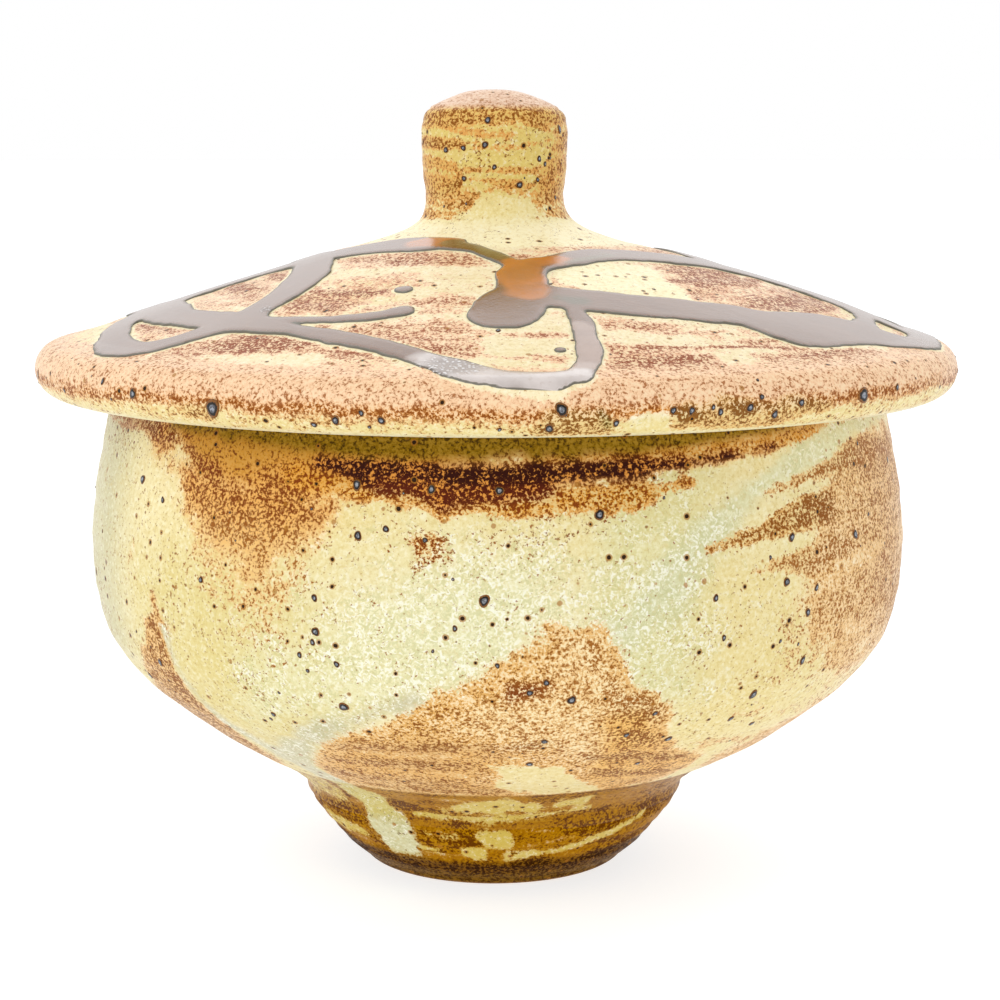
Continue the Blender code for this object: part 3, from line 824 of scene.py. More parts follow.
def paint_bowl(piece):
    points = points_of(piece)
    angle, r, z = around(points)
    canvas = Canvas(points, angle * SPREAD, z, SPREAD)
    inner = smooth_line(BOWL_INNER[::-1], 12)
    inside = (r < np.interp(z, inner[:, 1], inner[:, 0]) + 1.2) & (z > 17)
    drift = fractal(points, 34.0, 3, seed=1)
    small = fractal(points, 7.0, 4, seed=2)
    away = smoothstep(88, 116, np.abs(angle) + 45 * drift + 22 * small)
    front = 1 - away
    glaze = Glaze(len(points), CREAM, RUST)

    # Pale glaze: yellow-green on the left, milky and crystalline in the middle, celadon on the right.
    glaze.tint(smoothstep(-0.25, 0.3, drift + 0.6 * small), YELLOW)
    left = smoothstep(-14, -26, angle) * smoothstep(-60, -50, angle) * smoothstep(66, 52, z)
    glaze.tint(0.7 * left, YELLOW_GREEN)
    middle = np.exp(-(((angle + 1) / 24) ** 2) - ((z - 53) / 13) ** 2)
    glaze.tint(0.8 * middle * front, MILK)
    right = smoothstep(9, 15, angle) * smoothstep(34, 22, angle) * smoothstep(34, 42, z)
    glaze.tint(0.75 * right * front, CELADON)
    far_right = smoothstep(20, 32, angle) * smoothstep(70, 54, angle) * smoothstep(66, 56, z)
    glaze.tint(0.8 * far_right, YELLOW)
    # The left edge: grey-green glaze, painted darker to stand for shade on that side.
    glaze.tint(0.9 * smoothstep(-52, -68, angle) * smoothstep(34, 44, z) * front, GREY_GREEN_SHADED)
    veil = canvas.draw([(14, 50, 3), (20, 56, 3.4), (26, 63, 3.2), (33, 68.5, 2.4)], 2.4, 2.4)
    glaze.tint(0.85 * veil, srgb(214, 214, 172))
    milky = [(-38, 34), (-34, 44), (-20, 52), (-6, 60), (6, 60), (2, 48), (-8, 41), (-20, 35)]
    flakes = canvas.draw(milky, 5.0, 4.0)
    glaze.tint(0.5 * flakes * front, srgb(232, 230, 184))
    glaze.crystal = 0.05 + 0.8 * middle + 0.35 * right + 0.6 * veil + 0.6 * flakes + 0.3 * small
    glaze.crystal = np.clip(glaze.crystal, 0, 1) * front + 0.35 * away
    glaze.tint(0.6 * smoothstep(0.1, 0.4, fractal(points, 16.0, 3, seed=4)) * away, CELADON)

    # Thin brown freckling everywhere, more on the left.
    glaze.grain = 0.10 + 0.16 * smoothstep(-0.1, 0.4, small) + 0.06 * smoothstep(-10, -40, angle) - 0.1 * veil
    wild = smoothstep(-0.12, 0.22, drift + 0.35 * small)
    glaze.break_up(away * wild, 0.7, 0.45 + 0.3 * small)
    under_rim = smoothstep(66, 72, z) * smoothstep(80, 78, z)
    glaze.break_up(under_rim * away * smoothstep(-0.3, 0.1, drift + small), 0.8, 0.55)

    wash(glaze, canvas, BOWL_LAYERS, front)
    streaks = fractal(np.stack([angle * 0.28 + z / 3, z / 1.3 - angle * 0.22, 0 * z], axis=1), 4.0, 3, seed=6)
    rusty_right = smoothstep(34, 46, angle) * smoothstep(24, 30, z) * smoothstep(78, 74, z)
    glaze.heal(rusty_right * smoothstep(-0.1, -0.3, streaks), 0.45, 0.3)
    for line in (FOOT_RUN, LEFT_RUN):
        run = canvas.draw(line, 0.8, 1.0)
        glaze.tint(run, WHITE_RUN)
        glaze.heal(run, 0.04)
        glaze.crystal = np.maximum(glaze.crystal, 0.6 * run)

    # Below the trimming line the glaze is ochre, over yellow where it pooled.
    paint_trimming(glaze, canvas, points, angle, z, smoothstep(TRIM_LINE + 0.4, TRIM_LINE - 0.3, z))

    # Inside: the same glaze, thinner and calmer, breaking at the rim.
    calm = inside.astype(float)
    glaze.tint(calm, srgb(240, 230, 188))
    glaze.tint(0.6 * calm * smoothstep(0.05, 0.35, drift), CELADON)
    glaze.heal(calm, 0.1, 0.14)
    glaze.crystal = glaze.crystal * (1 - calm) + 0.3 * calm
    rim = smoothstep(BOWL_TOP - 2.2, BOWL_TOP - 0.6, z)
    glaze.break_up(rim, 0.8, 0.5)
    glaze.lay_on(piece)


# The trimmed foot, in the same two coordinates.
FOOT_LAYERS = [
    breaks([(20, 11.4, 1.6), (40, 11.6, 1.8), (62, 12, 1.6)], 1.0, 0.66),
    breaks([(-66, 11.8, 1.2), (-48, 11.6, 1.0)], 1.0, 0.7, soft=0.8),
    heals([(-70, 19), (-44, 20), (-47, 13.4), (-70, 13.6)], 0.35, tint=PUDDLE, rough=1.6),
    heals([(-66, 9.2, 1.2), (-46, 9.0, 1.1)], 0.3, tint=PUDDLE, soft=0.7),
    heals([(3, 6.8, 0.7), (20, 7.5, 0.8), (35, 9, 0.8), (50, 11.5, 0.7)], 0.1, tint=PUDDLE, soft=0.5,
        rough=1.0),
    heals([(-5, 10.7, 1.0), (0, 10.4, 1.7), (4, 10.5, 1.1)], 0.12, tint=PUDDLE, soft=0.7, rough=2.2),
    heals([(-11, 7.6, 0.5), (-7, 7.2, 1.2), (-4, 7.0, 0.8)], 0.1, tint=PUDDLE, soft=0.6, rough=1.8),
    heals([(-25, 7.8, 0.7), (-18, 7.8, 0.8)], 0.12, tint=PUDDLE, soft=0.5, rough=0.8),
    heals([(-22, 10.8, 1.0), (-12, 10.7, 1.0)], 0.3, tint=PUDDLE, soft=0.7, rough=1.0),
    heals([(10, 9.0, 0.5), (24, 10.0, 0.5)], 0.4, soft=0.5, rough=0.7),
    heals([(-14, 16.4, 1.2), (2, 17.0, 1.5), (8, 16.6, 1.2), (24, 17.6, 0.9)], 0.12, tint=PUDDLE, soft=0.8,
        rough=2.4),
    heals([(-24, 14.4, 0.6), (0, 14.2, 0.7), (26, 15.6, 0.6)], 0.2, tint=PUDDLE, soft=0.6, rough=0.8),
    breaks([(-19, 7.5, 0.3), (-18, 7.5, 0.4)], 1.0, 1.0, soft=0.3, rough=0.2),
    breaks([(4.6, 7.3, 0.3), (5.6, 7.3, 0.4)], 1.0, 1.0, soft=0.3, rough=0.2),
    breaks([(-23, 11.2, 0.3), (-22, 11.2, 0.4)], 1.0, 1.0, soft=0.3, rough=0.2),
]


def paint_trimming(glaze, canvas, points, angle, z, mask):
    """Ochre glaze in bands over the ridges of the trimmed foot, dark towards the bottom."""
    level = z + 0.35 * np.sin(np.radians(angle + 30)) + 0.012 * angle
    bands = fractal(np.stack([angle * 0.55 / 7, level / 1.1, 0 * z], axis=1), 1.0, 3, seed=21)
    patches = fractal(points, 6.0, 3, seed=22)
    glaze.tint(mask, srgb(190, 136, 6))
    glaze.stain(mask, OCHRE)
    cover = np.clip(1.0 - 1.1 * bands - 0.5 * patches, 0.3, 1.0)
    grain = np.clip(0.46 - 1.1 * bands - 0.5 * patches, 0.05, 0.9)
    glaze.cover += mask * (cover - glaze.cover)
    glaze.grain += mask * (grain - glaze.grain)
    glaze.crystal -= mask * glaze.crystal
    wash(glaze, canvas, FOOT_LAYERS, mask)

    low = smoothstep(6.6, 4.8, z + 1.2 * patches)
    glaze.stain(mask * low, UMBER)
    glaze.tint(mask * low, srgb(140, 96, 24))
    glaze.break_up(mask * low, 1.0, 0.62)
    heel = smoothstep(3.4, 2.4, z + 0.4 * patches)
    glaze.stain(mask * heel, HEEL)
    bare = smoothstep(0.7, 0.2, z)
    glaze.stain(mask * bare, (srgb(190, 142, 84), srgb(140, 94, 44)))
    run = mask * canvas.draw(FOOT_RUN, 2.0, 3.4) * smoothstep(5.0, 7.4, z + 1.6 * patches)
    glaze.tint(run, srgb(206, 190, 104))
    glaze.tint(run * smoothstep(14.0, 11.5, z + patches), srgb(214, 210, 166))
    glaze.heal(run, 0.08, 0.1)
    glaze.crystal += 0.5 * run


def paint_foot(piece):
    points = points_of(piece)
    angle, r, z = around(points)
    glaze = Glaze(len(points), YELLOW, OCHRE)
    canvas = Canvas(points, angle * SPREAD, z, SPREAD)
    paint_trimming(glaze, canvas, points, angle, z, np.ones(len(points)))
    bore = ((r < 23.5) & (z < 11.9) & (r < 17.5 + z * 0.45)).astype(float)
    glaze.stain(bore, (srgb(196, 150, 92), srgb(150, 104, 54)))
    glaze.break_up(bore, 0.9, 0.3)
    glaze.lay_on(piece)


# The lid seen from above: x to the right, y away from the front.
LID_LAYERS = [
    # Left of the knob.
    breaks([(-24, -18, 1.6), (-16, -22, 2.2), (-5, -28, 1.8)], 0.95, 0.62, rough=1.8),
    heals([(-25, -26.5, 1.3), (-12, -30.5, 1.6), (-3, -33, 1.3)], 0.08, rough=1.4),
    breaks([(-31, -28), (-12, -32), (-9, -38), (-20, -42.5), (-32, -44)], 0.98, 0.64, soft=1.4, rough=2.4),
    heals([(-8, -31), (0, -31), (0, -42), (-9, -42), (-22, -45), (-10, -38)], 0.2, soft=1.4, rough=2.0),
    breaks([(-12, -44.5, 0.6), (-4, -45.5, 1.0)], 0.8, 0.6),
    heals([(-22, -50.8, 1.2), (-10, -51.2, 1.2)], 0.15),
    breaks([(-19, -52), (-2, -53), (-4, -59), (-16, -59)], 0.9, 0.58, soft=1.6, rough=2.6),
    # Inside the left loops.
    breaks([(-47, -12), (-34, -12), (-35, -28), (-43, -31), (-48, -22)], 0.85, 0.5, soft=1.6, rough=2.4),
    breaks([(-55, -27), (-50, -28), (-46, -37), (-54, -37)], 0.95, 0.55, rough=1.6),
    # Below the left sweep.
    breaks([(-54, -46, 1.2), (-46, -47.5, 1.8), (-40, -49, 1.6)], 0.9, 0.55, rough=1.6),
    breaks([(-41, -47), (-27, -51), (-23, -57), (-38, -56)], 0.95, 0.72, soft=1.4, rough=2.4),
    heals([(-56, -47, 1.6), (-48, -52.5, 2.4), (-37, -58, 2.4), (-26, -61.5, 2.6)], 0.12, rough=1.8),
    breaks([(-36, -64, 1.2), (-20, -67.5, 1.6), (0, -69, 1.2)], 0.62, 0.4, soft=1.6, rough=1.6),
    # Right of the knob.
    breaks([(2, -8), (26, -8), (22, -16), (10, -22), (4, -20)], 0.6, 0.3, soft=2.0, rough=3.0),
    breaks([(6, -23, 0.8), (12, -21, 1.0)], 0.8, 0.5),
    breaks([(24, -17), (34, -14), (52, -14), (55, -22), (52, -30), (42, -36), (30, -38.5), (29, -30)], 0.98,
        0.68, soft=1.8, rough=2.8),
    heals([(8, -33), (12, -28), (20, -24), (24, -24), (26, -30), (28, -35), (29, -39.5), (14, -41),
        (9, -38)], 0.05, tint=SHELL, soft=0.9, rough=1.6),
    heals([(54.5, -26, 1.2), (56.5, -18, 1.2)], 0.1),
    heals([(14, -49.5, 0.5), (22, -49.5, 0.9), (34, -48, 0.8)], 0.15),
    breaks([(13, -51.5, 0.7), (22, -52.6, 1.2), (31, -52, 0.8)], 0.9, 0.65, rough=1.4),
    heals([(14, -56, 1.5), (28, -56, 1.8), (40, -53, 1.4)], 0.2, rough=1.4),
    breaks([(15, -61.4, 0.3), (28, -57, 0.35), (42, -50, 0.3)], 0.9, 0.95, soft=0.4, rough=0.4),
    breaks([(14, -60), (30, -58.5), (31, -66), (16, -67)], 0.95, 0.68, soft=1.4, rough=2.4),
    heals([(30, -57.5), (37, -56), (37, -64), (31, -66)], 0.12, soft=1.2, rough=1.8),
    breaks([(37, -55), (45, -50), (47, -55), (40, -61)], 0.9, 0.62, soft=1.4, rough=2.0),
    breaks([(44, -50), (52, -43), (60, -33), (66, -24), (71, -10), (75, -12), (70, -30), (61, -43),
        (50, -54)], 0.98, 0.68, soft=1.8, rough=2.6),
    # Between the front trails.
    heals([(-1, -55), (10, -52), (10.5, -67), (-3, -66)], 0.1, soft=1.2, rough=1.2),
    breaks([(-3, -57.6, 0.4), (4, -58, 0.7), (10, -57.4, 0.5)], 0.85, 0.6, soft=0.7),
    breaks([(-6, -63.5, 0.4), (2, -65.4, 0.6), (9, -65.4, 0.5)], 0.85, 0.6, soft=0.7),
]


BRIM_SPREAD = 1.3  # millimetres of the lid's edge in a degree round the axis

# The front of the lid's rolled edge, laid out as angle round the axis and height.
BRIM_LAYERS = [
    breaks([(3.8, 79), (5, 83.2), (11, 83.4), (12, 79)], 0.95, 0.66, BRIM_AMBER, soft=0.6, rough=0.8),
    breaks([(10.6, 83, 0.6), (11.8, 81, 0.9)], 1.0, 0.6, OLIVE, soft=0.5),
    breaks([(4, 80.4, 0.4), (5.4, 80.2, 0.5)], 1.0, 0.85, BRIM_AMBER, soft=0.4),
    heals([(13, 79.2), (13.5, 82.8), (18, 83), (18.6, 79.4)], 0.1, soft=0.5, rough=0.6),
    breaks([(19, 80.6), (19.5, 83.4), (30, 83.8), (39, 83.4), (40, 81), (32, 80), (24, 80)], 0.95, 0.56,
        BRIM_AMBER, soft=0.7, rough=1.4),
    breaks([(18.6, 82.4, 0.4), (21, 81.8, 0.7)], 1.0, 0.95, BRIM_AMBER, soft=0.5),
    breaks([(26.5, 82.6, 0.5), (29, 82.2, 0.6)], 1.0, 0.9, BRIM_AMBER, soft=0.5),
    breaks([(33.6, 82.8, 0.4), (35, 82.6, 0.5)], 1.0, 0.85, BRIM_AMBER, soft=0.5),
    breaks([(-36, 81.2, 0.4), (-33, 81.4, 0.5)], 0.8, 0.6, BRIM_AMBER, soft=0.5),
    breaks([(-20, 80.8, 0.3), (-18, 81.2, 0.4)], 0.8, 0.6, BRIM_AMBER, soft=0.5),
]


def paint_lid(piece):
    points = points_of(piece)
    angle, r, z = around(points)
    x, y = points[:, 0], points[:, 1]
    canvas = Canvas(points, x, y)
    turn = np.radians(angle)
    across = np.stack([np.cos(turn) * 2.4, np.sin(turn) * 2.4, r / 2.4], axis=1)
    streaks = fractal(across, 1.0, 4, seed=31)
    broad = fractal(points, 20.0, 3, seed=32)
    top = z > SEAT + BRIM_ROUND - 0.5
    glaze = Glaze(len(points), srgb(247, 231, 190), ROSE)

    glaze.tint(smoothstep(-0.1, 0.35, broad) * 0.5, YELLOW)
    glaze.cover = np.clip(0.54 + 1.7 * streaks + 0.3 * broad, 0.1, 0.98)
    glaze.grain = np.clip(0.36 + 1.2 * streaks + 0.25 * broad, 0.1, 0.8)
    wash(glaze, canvas, LID_LAYERS, smoothstep(72, 69, r))
    glaze.stain(smoothstep(0.5, 0.68, glaze.grain), ROSE_RUST)
    worn = smoothstep(0.05, -0.25, streaks) * smoothstep(72, 68, r)
    glaze.heal(worn, 0.45, 0.25)

    # Pale round the knob, yellow-green at the far left.
    glaze.heal(smoothstep(25, 19, r + 5 * broad), 0.08, 0.1)
    glaze.tint(smoothstep(24, 19, r), SHELL)
    far_left = smoothstep(-60, -64, x) * smoothstep(-38, -30, y)
    glaze.heal(far_left, 0.3, 0.2)
    glaze.tint(0.8 * far_left, srgb(238, 226, 166))

    # The rolled edge: rust above, yellow-green below.
    edge = smoothstep(69.5, 71.5, r)
    level = z + 1.4 * broad + 0.8 * canvas.fine
    upper = smoothstep(81.8, 82.6, level)
    glaze.stain(edge, BRIM_RUST)
    glaze.tint(0.7 * edge * upper, srgb(252, 222, 184))
    glaze.heal(edge * upper, 0.85, 0.36)
    glaze.break_up(edge * upper, 0.85, 0.36)
    line = np.exp(-(((level - 82.6) / 1.0) ** 2))
    glaze.stain(edge * line, BRIM_LINE)
    glaze.break_up(edge * line, 1.0, 0.64)
    lower = edge * (1 - upper) * (1 - line)
    glaze.stain(lower, BRIM_AMBER)
    glaze.heal(lower, 0.3, 0.24)
    glaze.tint(lower, srgb(236, 216, 150))
    blot = smoothstep(0.06, 0.22, fractal(points, 9.0, 3, seed=35)) * smoothstep(55, 75, np.abs(angle))
    glaze.break_up(lower * blot, 0.95, 0.66)
    wash(glaze, Canvas(points, angle * BRIM_SPREAD, z, BRIM_SPREAD), BRIM_LAYERS, edge)

    # A clean pale fringe where the trailed glaze drew back the glaze under it.
    gap = trail_distance(x, y)
    fringe = smoothstep(0.9, 0.3, gap) * smoothstep(-1.0, 0.0, gap) * top
    glaze.heal(fringe, 0.12, 0.06)
    glaze.tint(0.7 * fringe, SHELL)

    # Underneath: the calm liner glaze.
    below = smoothstep(SEAT + 0.9, SEAT + 0.2, z) + ((r < 53.2) & (z < np.interp(r, *LID_LINE.T) - 2.5))
    below = np.clip(below, 0, 1)
    glaze.tint(below, srgb(236, 226, 184))
    glaze.heal(below, 0.1, 0.1)
    seat = np.exp(-(((r - 61) / 3.5) ** 2)) * (z < SEAT + 0.5)
    glaze.stain(seat, (srgb(206, 160, 108), srgb(160, 110, 66)))
    glaze.break_up(seat, 0.9, 0.3)
    glaze.crystal = 0.1 + 0 * r
    glaze.lay_on(piece)


KNOB_SPREAD = 0.21  # millimetres of the knob's wall in a degree round the axis

# The knob's front, laid out as angle round the axis and height.
KNOB_LAYERS = [
    breaks([(-105, 121.0), (-60, 121.6), (-20, 121.8), (5, 122.6), (25, 122.3), (45, 121), (60, 119),
        (105, 119), (105, 127), (-105, 127)], 0.98, 0.62, soft=0.6),
    breaks([(-80, 119.2, 0.5), (-52, 118.8, 0.7), (-30, 118.2, 0.5)], 0.9, 0.66, soft=0.4),
    heals([(-80, 120.6, 0.3), (-48, 120.2, 0.4)], 0.2, soft=0.3, rough=0.5),
    heals([(-80, 117.4, 0.5), (-40, 117.0, 0.5), (-20, 117.4, 0.3)], 0.2, soft=0.4, rough=0.6),
    breaks([(-105, 116.4), (-62, 116.4), (-40, 115.4), (-28, 113.4), (-30, 111.6), (-14, 110.6), (-12, 109),
        (-30, 107.4), (-60, 106.4), (-105, 106.4)], 0.85, 0.5, soft=0.7, rough=1.0),
    heals([(-80, 114.8, 0.3), (-50, 114.2, 0.4), (-34, 113.8, 0.3)], 0.35, soft=0.4, rough=0.5),
    breaks([(-80, 110.4, 0.4), (-55, 110.2, 0.4), (-30, 112.5, 0.5)], 1.0, 0.75, soft=0.4, rough=0.6),
    heals([(-80, 108.8, 0.3), (-58, 109, 0.4), (-36, 110, 0.3)], 0.3, soft=0.4, rough=0.6),
    breaks([(-56, 108.2, 0.8), (-17, 109.2, 1.1)], 0.95, 0.62, soft=0.6, rough=0.9),
    breaks([(33, 107.6), (30, 110), (36, 114), (46, 117), (60, 120), (105, 120), (105, 106), (58, 106.4)],
        0.88, 0.52, soft=0.7, rough=1.0),
    heals([(44, 111.5, 0.3), (60, 113.5, 0.4), (80, 114, 0.4)], 0.35, soft=0.4, rough=0.5),
    heals([(42, 108.8, 0.3), (62, 110.4, 0.4), (80, 110.8, 0.4)], 0.4, soft=0.4, rough=0.5),
    breaks([(-24, 114.4, 0.3), (8, 114.6, 0.3), (40, 114.2, 0.4)], 0.7, 0.45, soft=0.4, rough=0.6),
    breaks([(-20, 113.2, 0.3), (6, 112.6, 0.5), (36, 112.2, 0.4)], 0.75, 0.45, soft=0.5, rough=0.8),
    breaks([(-8, 111.6, 0.3), (20, 111.4, 0.4), (34, 111, 0.4)], 0.5, 0.35, soft=0.4, rough=0.6),
    heals([(-13, 110.6), (6, 111.0), (31, 110.6), (32, 104), (-34, 104), (-30, 106.6)], 0.1, soft=0.8,
        rough=1.0),
]


def paint_knob(piece):
    points = points_of(piece)
    angle, _, z = around(points)
    canvas = Canvas(points, angle * KNOB_SPREAD, z, KNOB_SPREAD)
    small = fractal(points, 3.2, 3, seed=41)
    level = z - 0.02 * np.abs(angle)
    streaks = fractal(np.stack([np.radians(angle) * 0.8, level / 0.9, 0 * z], axis=1), 1.0, 3, seed=42)
    glaze = Glaze(len(points), srgb(230, 206, 120), KNOB_RUST)

    glaze.grain = 0.14 + 0.2 * smoothstep(0, 0.3, small)
    glaze.cover = 0.12 + 0.5 * smoothstep(0.0, 0.3, streaks)
    glaze.tint(smoothstep(112.0, 109.0, z), srgb(240, 222, 156))
    glaze.tint(smoothstep(108.0, 104.8, z), SHELL)
    away = smoothstep(75, 100, np.abs(angle))
    glaze.break_up(away * smoothstep(107, 109, z) * smoothstep(-0.25, 0.1, streaks), 0.85, 0.45)
    wash(glaze, canvas, KNOB_LAYERS)
    glaze.heal(smoothstep(-0.06, -0.24, streaks) * smoothstep(123, 121, z), 0.4, 0.3)
    glaze.heal(smoothstep(107.6, 105.8, z), 0.05, 0.12)
    # The crown's light pinkish tint is partly a painted reflection of the bright room on the knob's top; its
    # rust streaks are the glaze.
    crown_with_sheen = smoothstep(123.9, 124.9, z)
    glaze.stain(crown_with_sheen, CROWN_RUST_AND_SHEEN)
    glaze.tint(crown_with_sheen, srgb(241, 217, 192))
    glaze.heal(crown_with_sheen, 0.75, 0.36)
    glaze.break_up(crown_with_sheen, 0.7, 0.36)
    glaze.crystal = 0.1 + 0 * z
    glaze.lay_on(piece)


# ---- Trailed glaze ----

# The raised glaze lines on the lid, seen from above: x, y and half of the line's width.
TRAILS = {
    "left_outer": [(-50, -7, 3.6), (-56, -12, 4.4), (-59, -20, 2.8), (-58.6, -29, 2.7), (-57.2, -36, 3.0),
        (-54, -41, 2.9), (-48.5, -42.7, 2.4), (-42.5, -41.8, 2.8), (-37.5, -40.2, 3.6)],
    "left_middle": [(-54, -12, 4.0), (-51.5, -21, 3.7), (-49, -27.5, 3.0), (-45, -33.2, 2.9),
        (-40.5, -38.5, 3.4)],
    "left_inner": [(-29.3, -7, 3.3), (-29.1, -15, 3.3), (-29.4, -22, 3.6), (-31.4, -29, 3.3),
        (-34.6, -35, 3.0), (-37.5, -40.2, 3.4)],
    "upper_left": [(-56, -9, 4.0), (-48, -6.5, 3.6), (-38, -5.5, 3.4), (-29.3, -7.5, 3.5),
        (-22.5, -11.5, 3.8), (-16, -14.8, 4.2), (-11, -17.2, 4.0), (-7.6, -18, 2.8)],
    "hook": [(-33.5, -43.2, 1.2), (-28, -46.3, 1.2), (-22, -48.4, 1.3), (-17, -48.8, 1.4), (-13.4, -48, 1.6)],
    "front_sweep": [(-37.5, -41.5, 3.4), (-34, -45.4, 2.4), (-30.5, -48.6, 1.8), (-25.5, -53, 1.8),
        (-20, -57.2, 2.1), (-14, -61.8, 1.9), (-8.5, -66.4, 2.1), (-4.5, -69.6, 3.0), (1, -72, 2.2),
        (6.5, -72.2, 2.0), (10.8, -70.6, 2.0)],
    "front_rise": [(11.4, -70.2, 2.0), (12.4, -66, 1.7), (12.8, -61.6, 1.9), (12.4, -57.4, 1.7),
        (12.1, -53.5, 1.8), (11.2, -49.5, 1.3), (10.8, -45, 1.6)],
    "link": [(-8, -18.8, 2.4), (-4.2, -22, 1.8), (-1.5, -25, 1.7), (1, -28.2, 1.7), (3.2, -31.5, 2.2)],
    "right_drop": [(6.2, -29.6, 2.6), (3.9, -34, 3.7), (3.9, -38.5, 3.9), (4, -42.5, 4.4), (2.2, -47, 5.2),
        (0.9, -51, 5.2)],
    "upper_right": [(5.2, -31, 2.6), (10.5, -27, 3.0), (15, -22.6, 3.0), (20.5, -19, 3.0), (26, -15.2, 3.2),
        (32, -10.6, 3.3), (39, -7, 3.7), (47, -6, 4.2), (54, -8, 4.2), (57.4, -14, 2.7), (57.6, -20, 1.5),
        (57, -26, 2.6)],
    "right_bridge": [(54, -9, 4.0), (60, -11.5, 3.6), (66.5, -12, 3.2)],
    "lower_right": [(6, -43.6, 4.2), (13, -44.5, 4.0), (21, -44.5, 4.2), (29, -43, 4.1), (36, -41.2, 4.2),
        (42.8, -41.6, 6.1), (48, -37, 5.6), (53.5, -32, 4.9), (60, -28, 4.0), (66, -22.5, 2.8),
        (67.8, -14, 2.8), (68.2, -5, 3.0)],
    "back_left": [(-53, -9, 4.0), (-57.5, -1, 3.2), (-58.5, 9, 2.8), (-54.5, 20, 2.6), (-46, 29.5, 3.0),
        (-34, 35.5, 2.4), (-22, 34, 2.1), (-13, 27, 1.8), (-8.5, 20.5, 2.2)],
    "back_left_rib": [(-29.3, -7, 3.2), (-31.5, 3, 2.4), (-36, 13, 2.1), (-42, 22, 2.4), (-46, 29, 2.8)],
    "back_right": [(68.2, -5, 3.0), (67, 6, 2.8), (61, 17.5, 3.2), (51, 26, 3.0), (40, 27.5, 2.6),
        (31.5, 21, 2.2), (29, 10, 2.4), (32, -1, 2.8), (36.5, -8, 3.0)],
    "back_sweep": [(51, 26, 3.0), (46.5, 37, 2.4), (36.5, 47, 2.0), (23.5, 54.5, 2.0), (10, 58, 2.4),
        (0.5, 57, 3.4)],
    "lone_drop": [(-14.1, -38.9, 1.1), (-13.6, -39.1, 1.1)],
    "front_drop": [(8.6, -62.6, 0.4), (9.1, -62.5, 0.4)],
}
TRAIL_BROWN = srgb(112, 70, 36)
# Colours laid on the trailed glaze, each along a line of x, y and half width. The pale mauve-grey ones along
# the front are a painted reflection of the bright room in the glossy glaze; the amber ones are where the
# glaze is deep enough to glow, and the olive ones are darker glaze.
TRAIL_TONES_AND_SHEEN = [
    ([(-9, -66, 2.6), (-4.5, -69.6, 3.4), (1, -72, 3.0), (6.5, -72.2, 3.0), (10.8, -70.6, 2.8)],
        srgb(214, 202, 196)),
    ([(12.4, -66, 2.6), (12.8, -61.6, 2.4), (12.3, -56, 2.2)], srgb(168, 140, 124)),
    ([(-11.5, -16.4, 2.6), (-6, -18, 2.6)], srgb(186, 106, 14)),
    ([(9, -27.6, 2.6), (4, -30.5, 3.4), (2.8, -36, 4.6), (4.6, -42.5, 3.2)], srgb(192, 108, 8)),
    ([(-6.5, -19.5, 1.6), (-1.5, -25, 1.8), (0.4, -27.4, 1.4)], srgb(104, 82, 18)),
    ([(11, -28.8, 0.9), (18, -21.5, 1.2)], srgb(104, 82, 26)),
    ([(9, -44.6, 1.2), (12, -45.4, 1.4)], srgb(84, 66, 22)),
]
TRAIL_FIELD = 74.5
TRAIL_GRID = 0.36
TRAIL_RELIEF = 0.36
TRAIL_SHOULDER = 0.95
MELD = 1.5  # how far two lines draw together where they meet
TRAIL_REACH = 8.0  # beyond this distance a line has no effect
TRAIL_ROOT = 0.3  # how deep the trails reach into the lid


def trail_distance(x, y):
    """Distance from the edge of the trailed glaze, negative inside it."""
    best = np.full(x.shape, 50.0)
    for line in TRAILS.values():
        points = smooth_line(line, 4)
        low, high = points.min(axis=0) - TRAIL_REACH, points.max(axis=0) + TRAIL_REACH
        near = (x > low[0]) & (x < high[0]) & (y > low[1]) & (y < high[1])
        gap = np.full(x.shape, 50.0)
        gap[near] = line_distance(x[near], y[near], points)
        share = np.clip(0.5 + 0.5 * (best - gap) / MELD, 0, 1)
        best = best + (gap - best) * share - MELD * share * (1 - share) * 0.5
    flat = np.stack([x, y, 0 * x], axis=-1)
    return best + 0.42 * fractal(flat, 5.0, 2, seed=81) + 0.3 * fractal(flat, 1.5, 2, seed=82)


def blurred(field, passes):
    for _ in range(passes):
        for axis in (0, 1):
            field = (np.roll(field, 1, axis) + 2 * field + np.roll(field, -1, axis)) / 4
    return field


def outlined(x, y, gap, depth):
    """A flat mesh of the grid squares inside the outline, cut along it.

    Gives rows of (x, y, depth, distance inside the outline) for the points, and the faces.
    """
    inside = gap < 0
    number = np.full(gap.shape, -1)
    number[inside] = np.arange(inside.sum())
    points = [(x[at], y[at], depth[at], -gap[at]) for at in zip(*np.nonzero(inside))]
    crossing = {}

    def edge_point(a, b):
        """The point where the outline crosses between two neighbouring grid points."""
        a, b = sorted((a, b))
        if (a, b) not in crossing:
            share = np.clip(gap[a] / (gap[a] - gap[b]), 0.12, 0.88)
            crossing[a, b] = len(points)
            points.append((*((1 - share) * field[a] + share * field[b] for field in (x, y, depth)), 0.0))
        return crossing[a, b]

    faces = []
    touched = inside[:-1, :-1] | inside[1:, :-1] | inside[1:, 1:] | inside[:-1, 1:]
    for i, j in zip(*np.nonzero(touched)):
        corners = [(i, j), (i + 1, j), (i + 1, j + 1), (i, j + 1)]
        face = []
        for here, there in zip(corners, corners[1:] + corners[:1]):
            if inside[here]:
                face.append(int(number[here]))
            if inside[here] != inside[there]:
                face.append(edge_point(here, there))
        faces.append(face)
    return np.array(points), faces


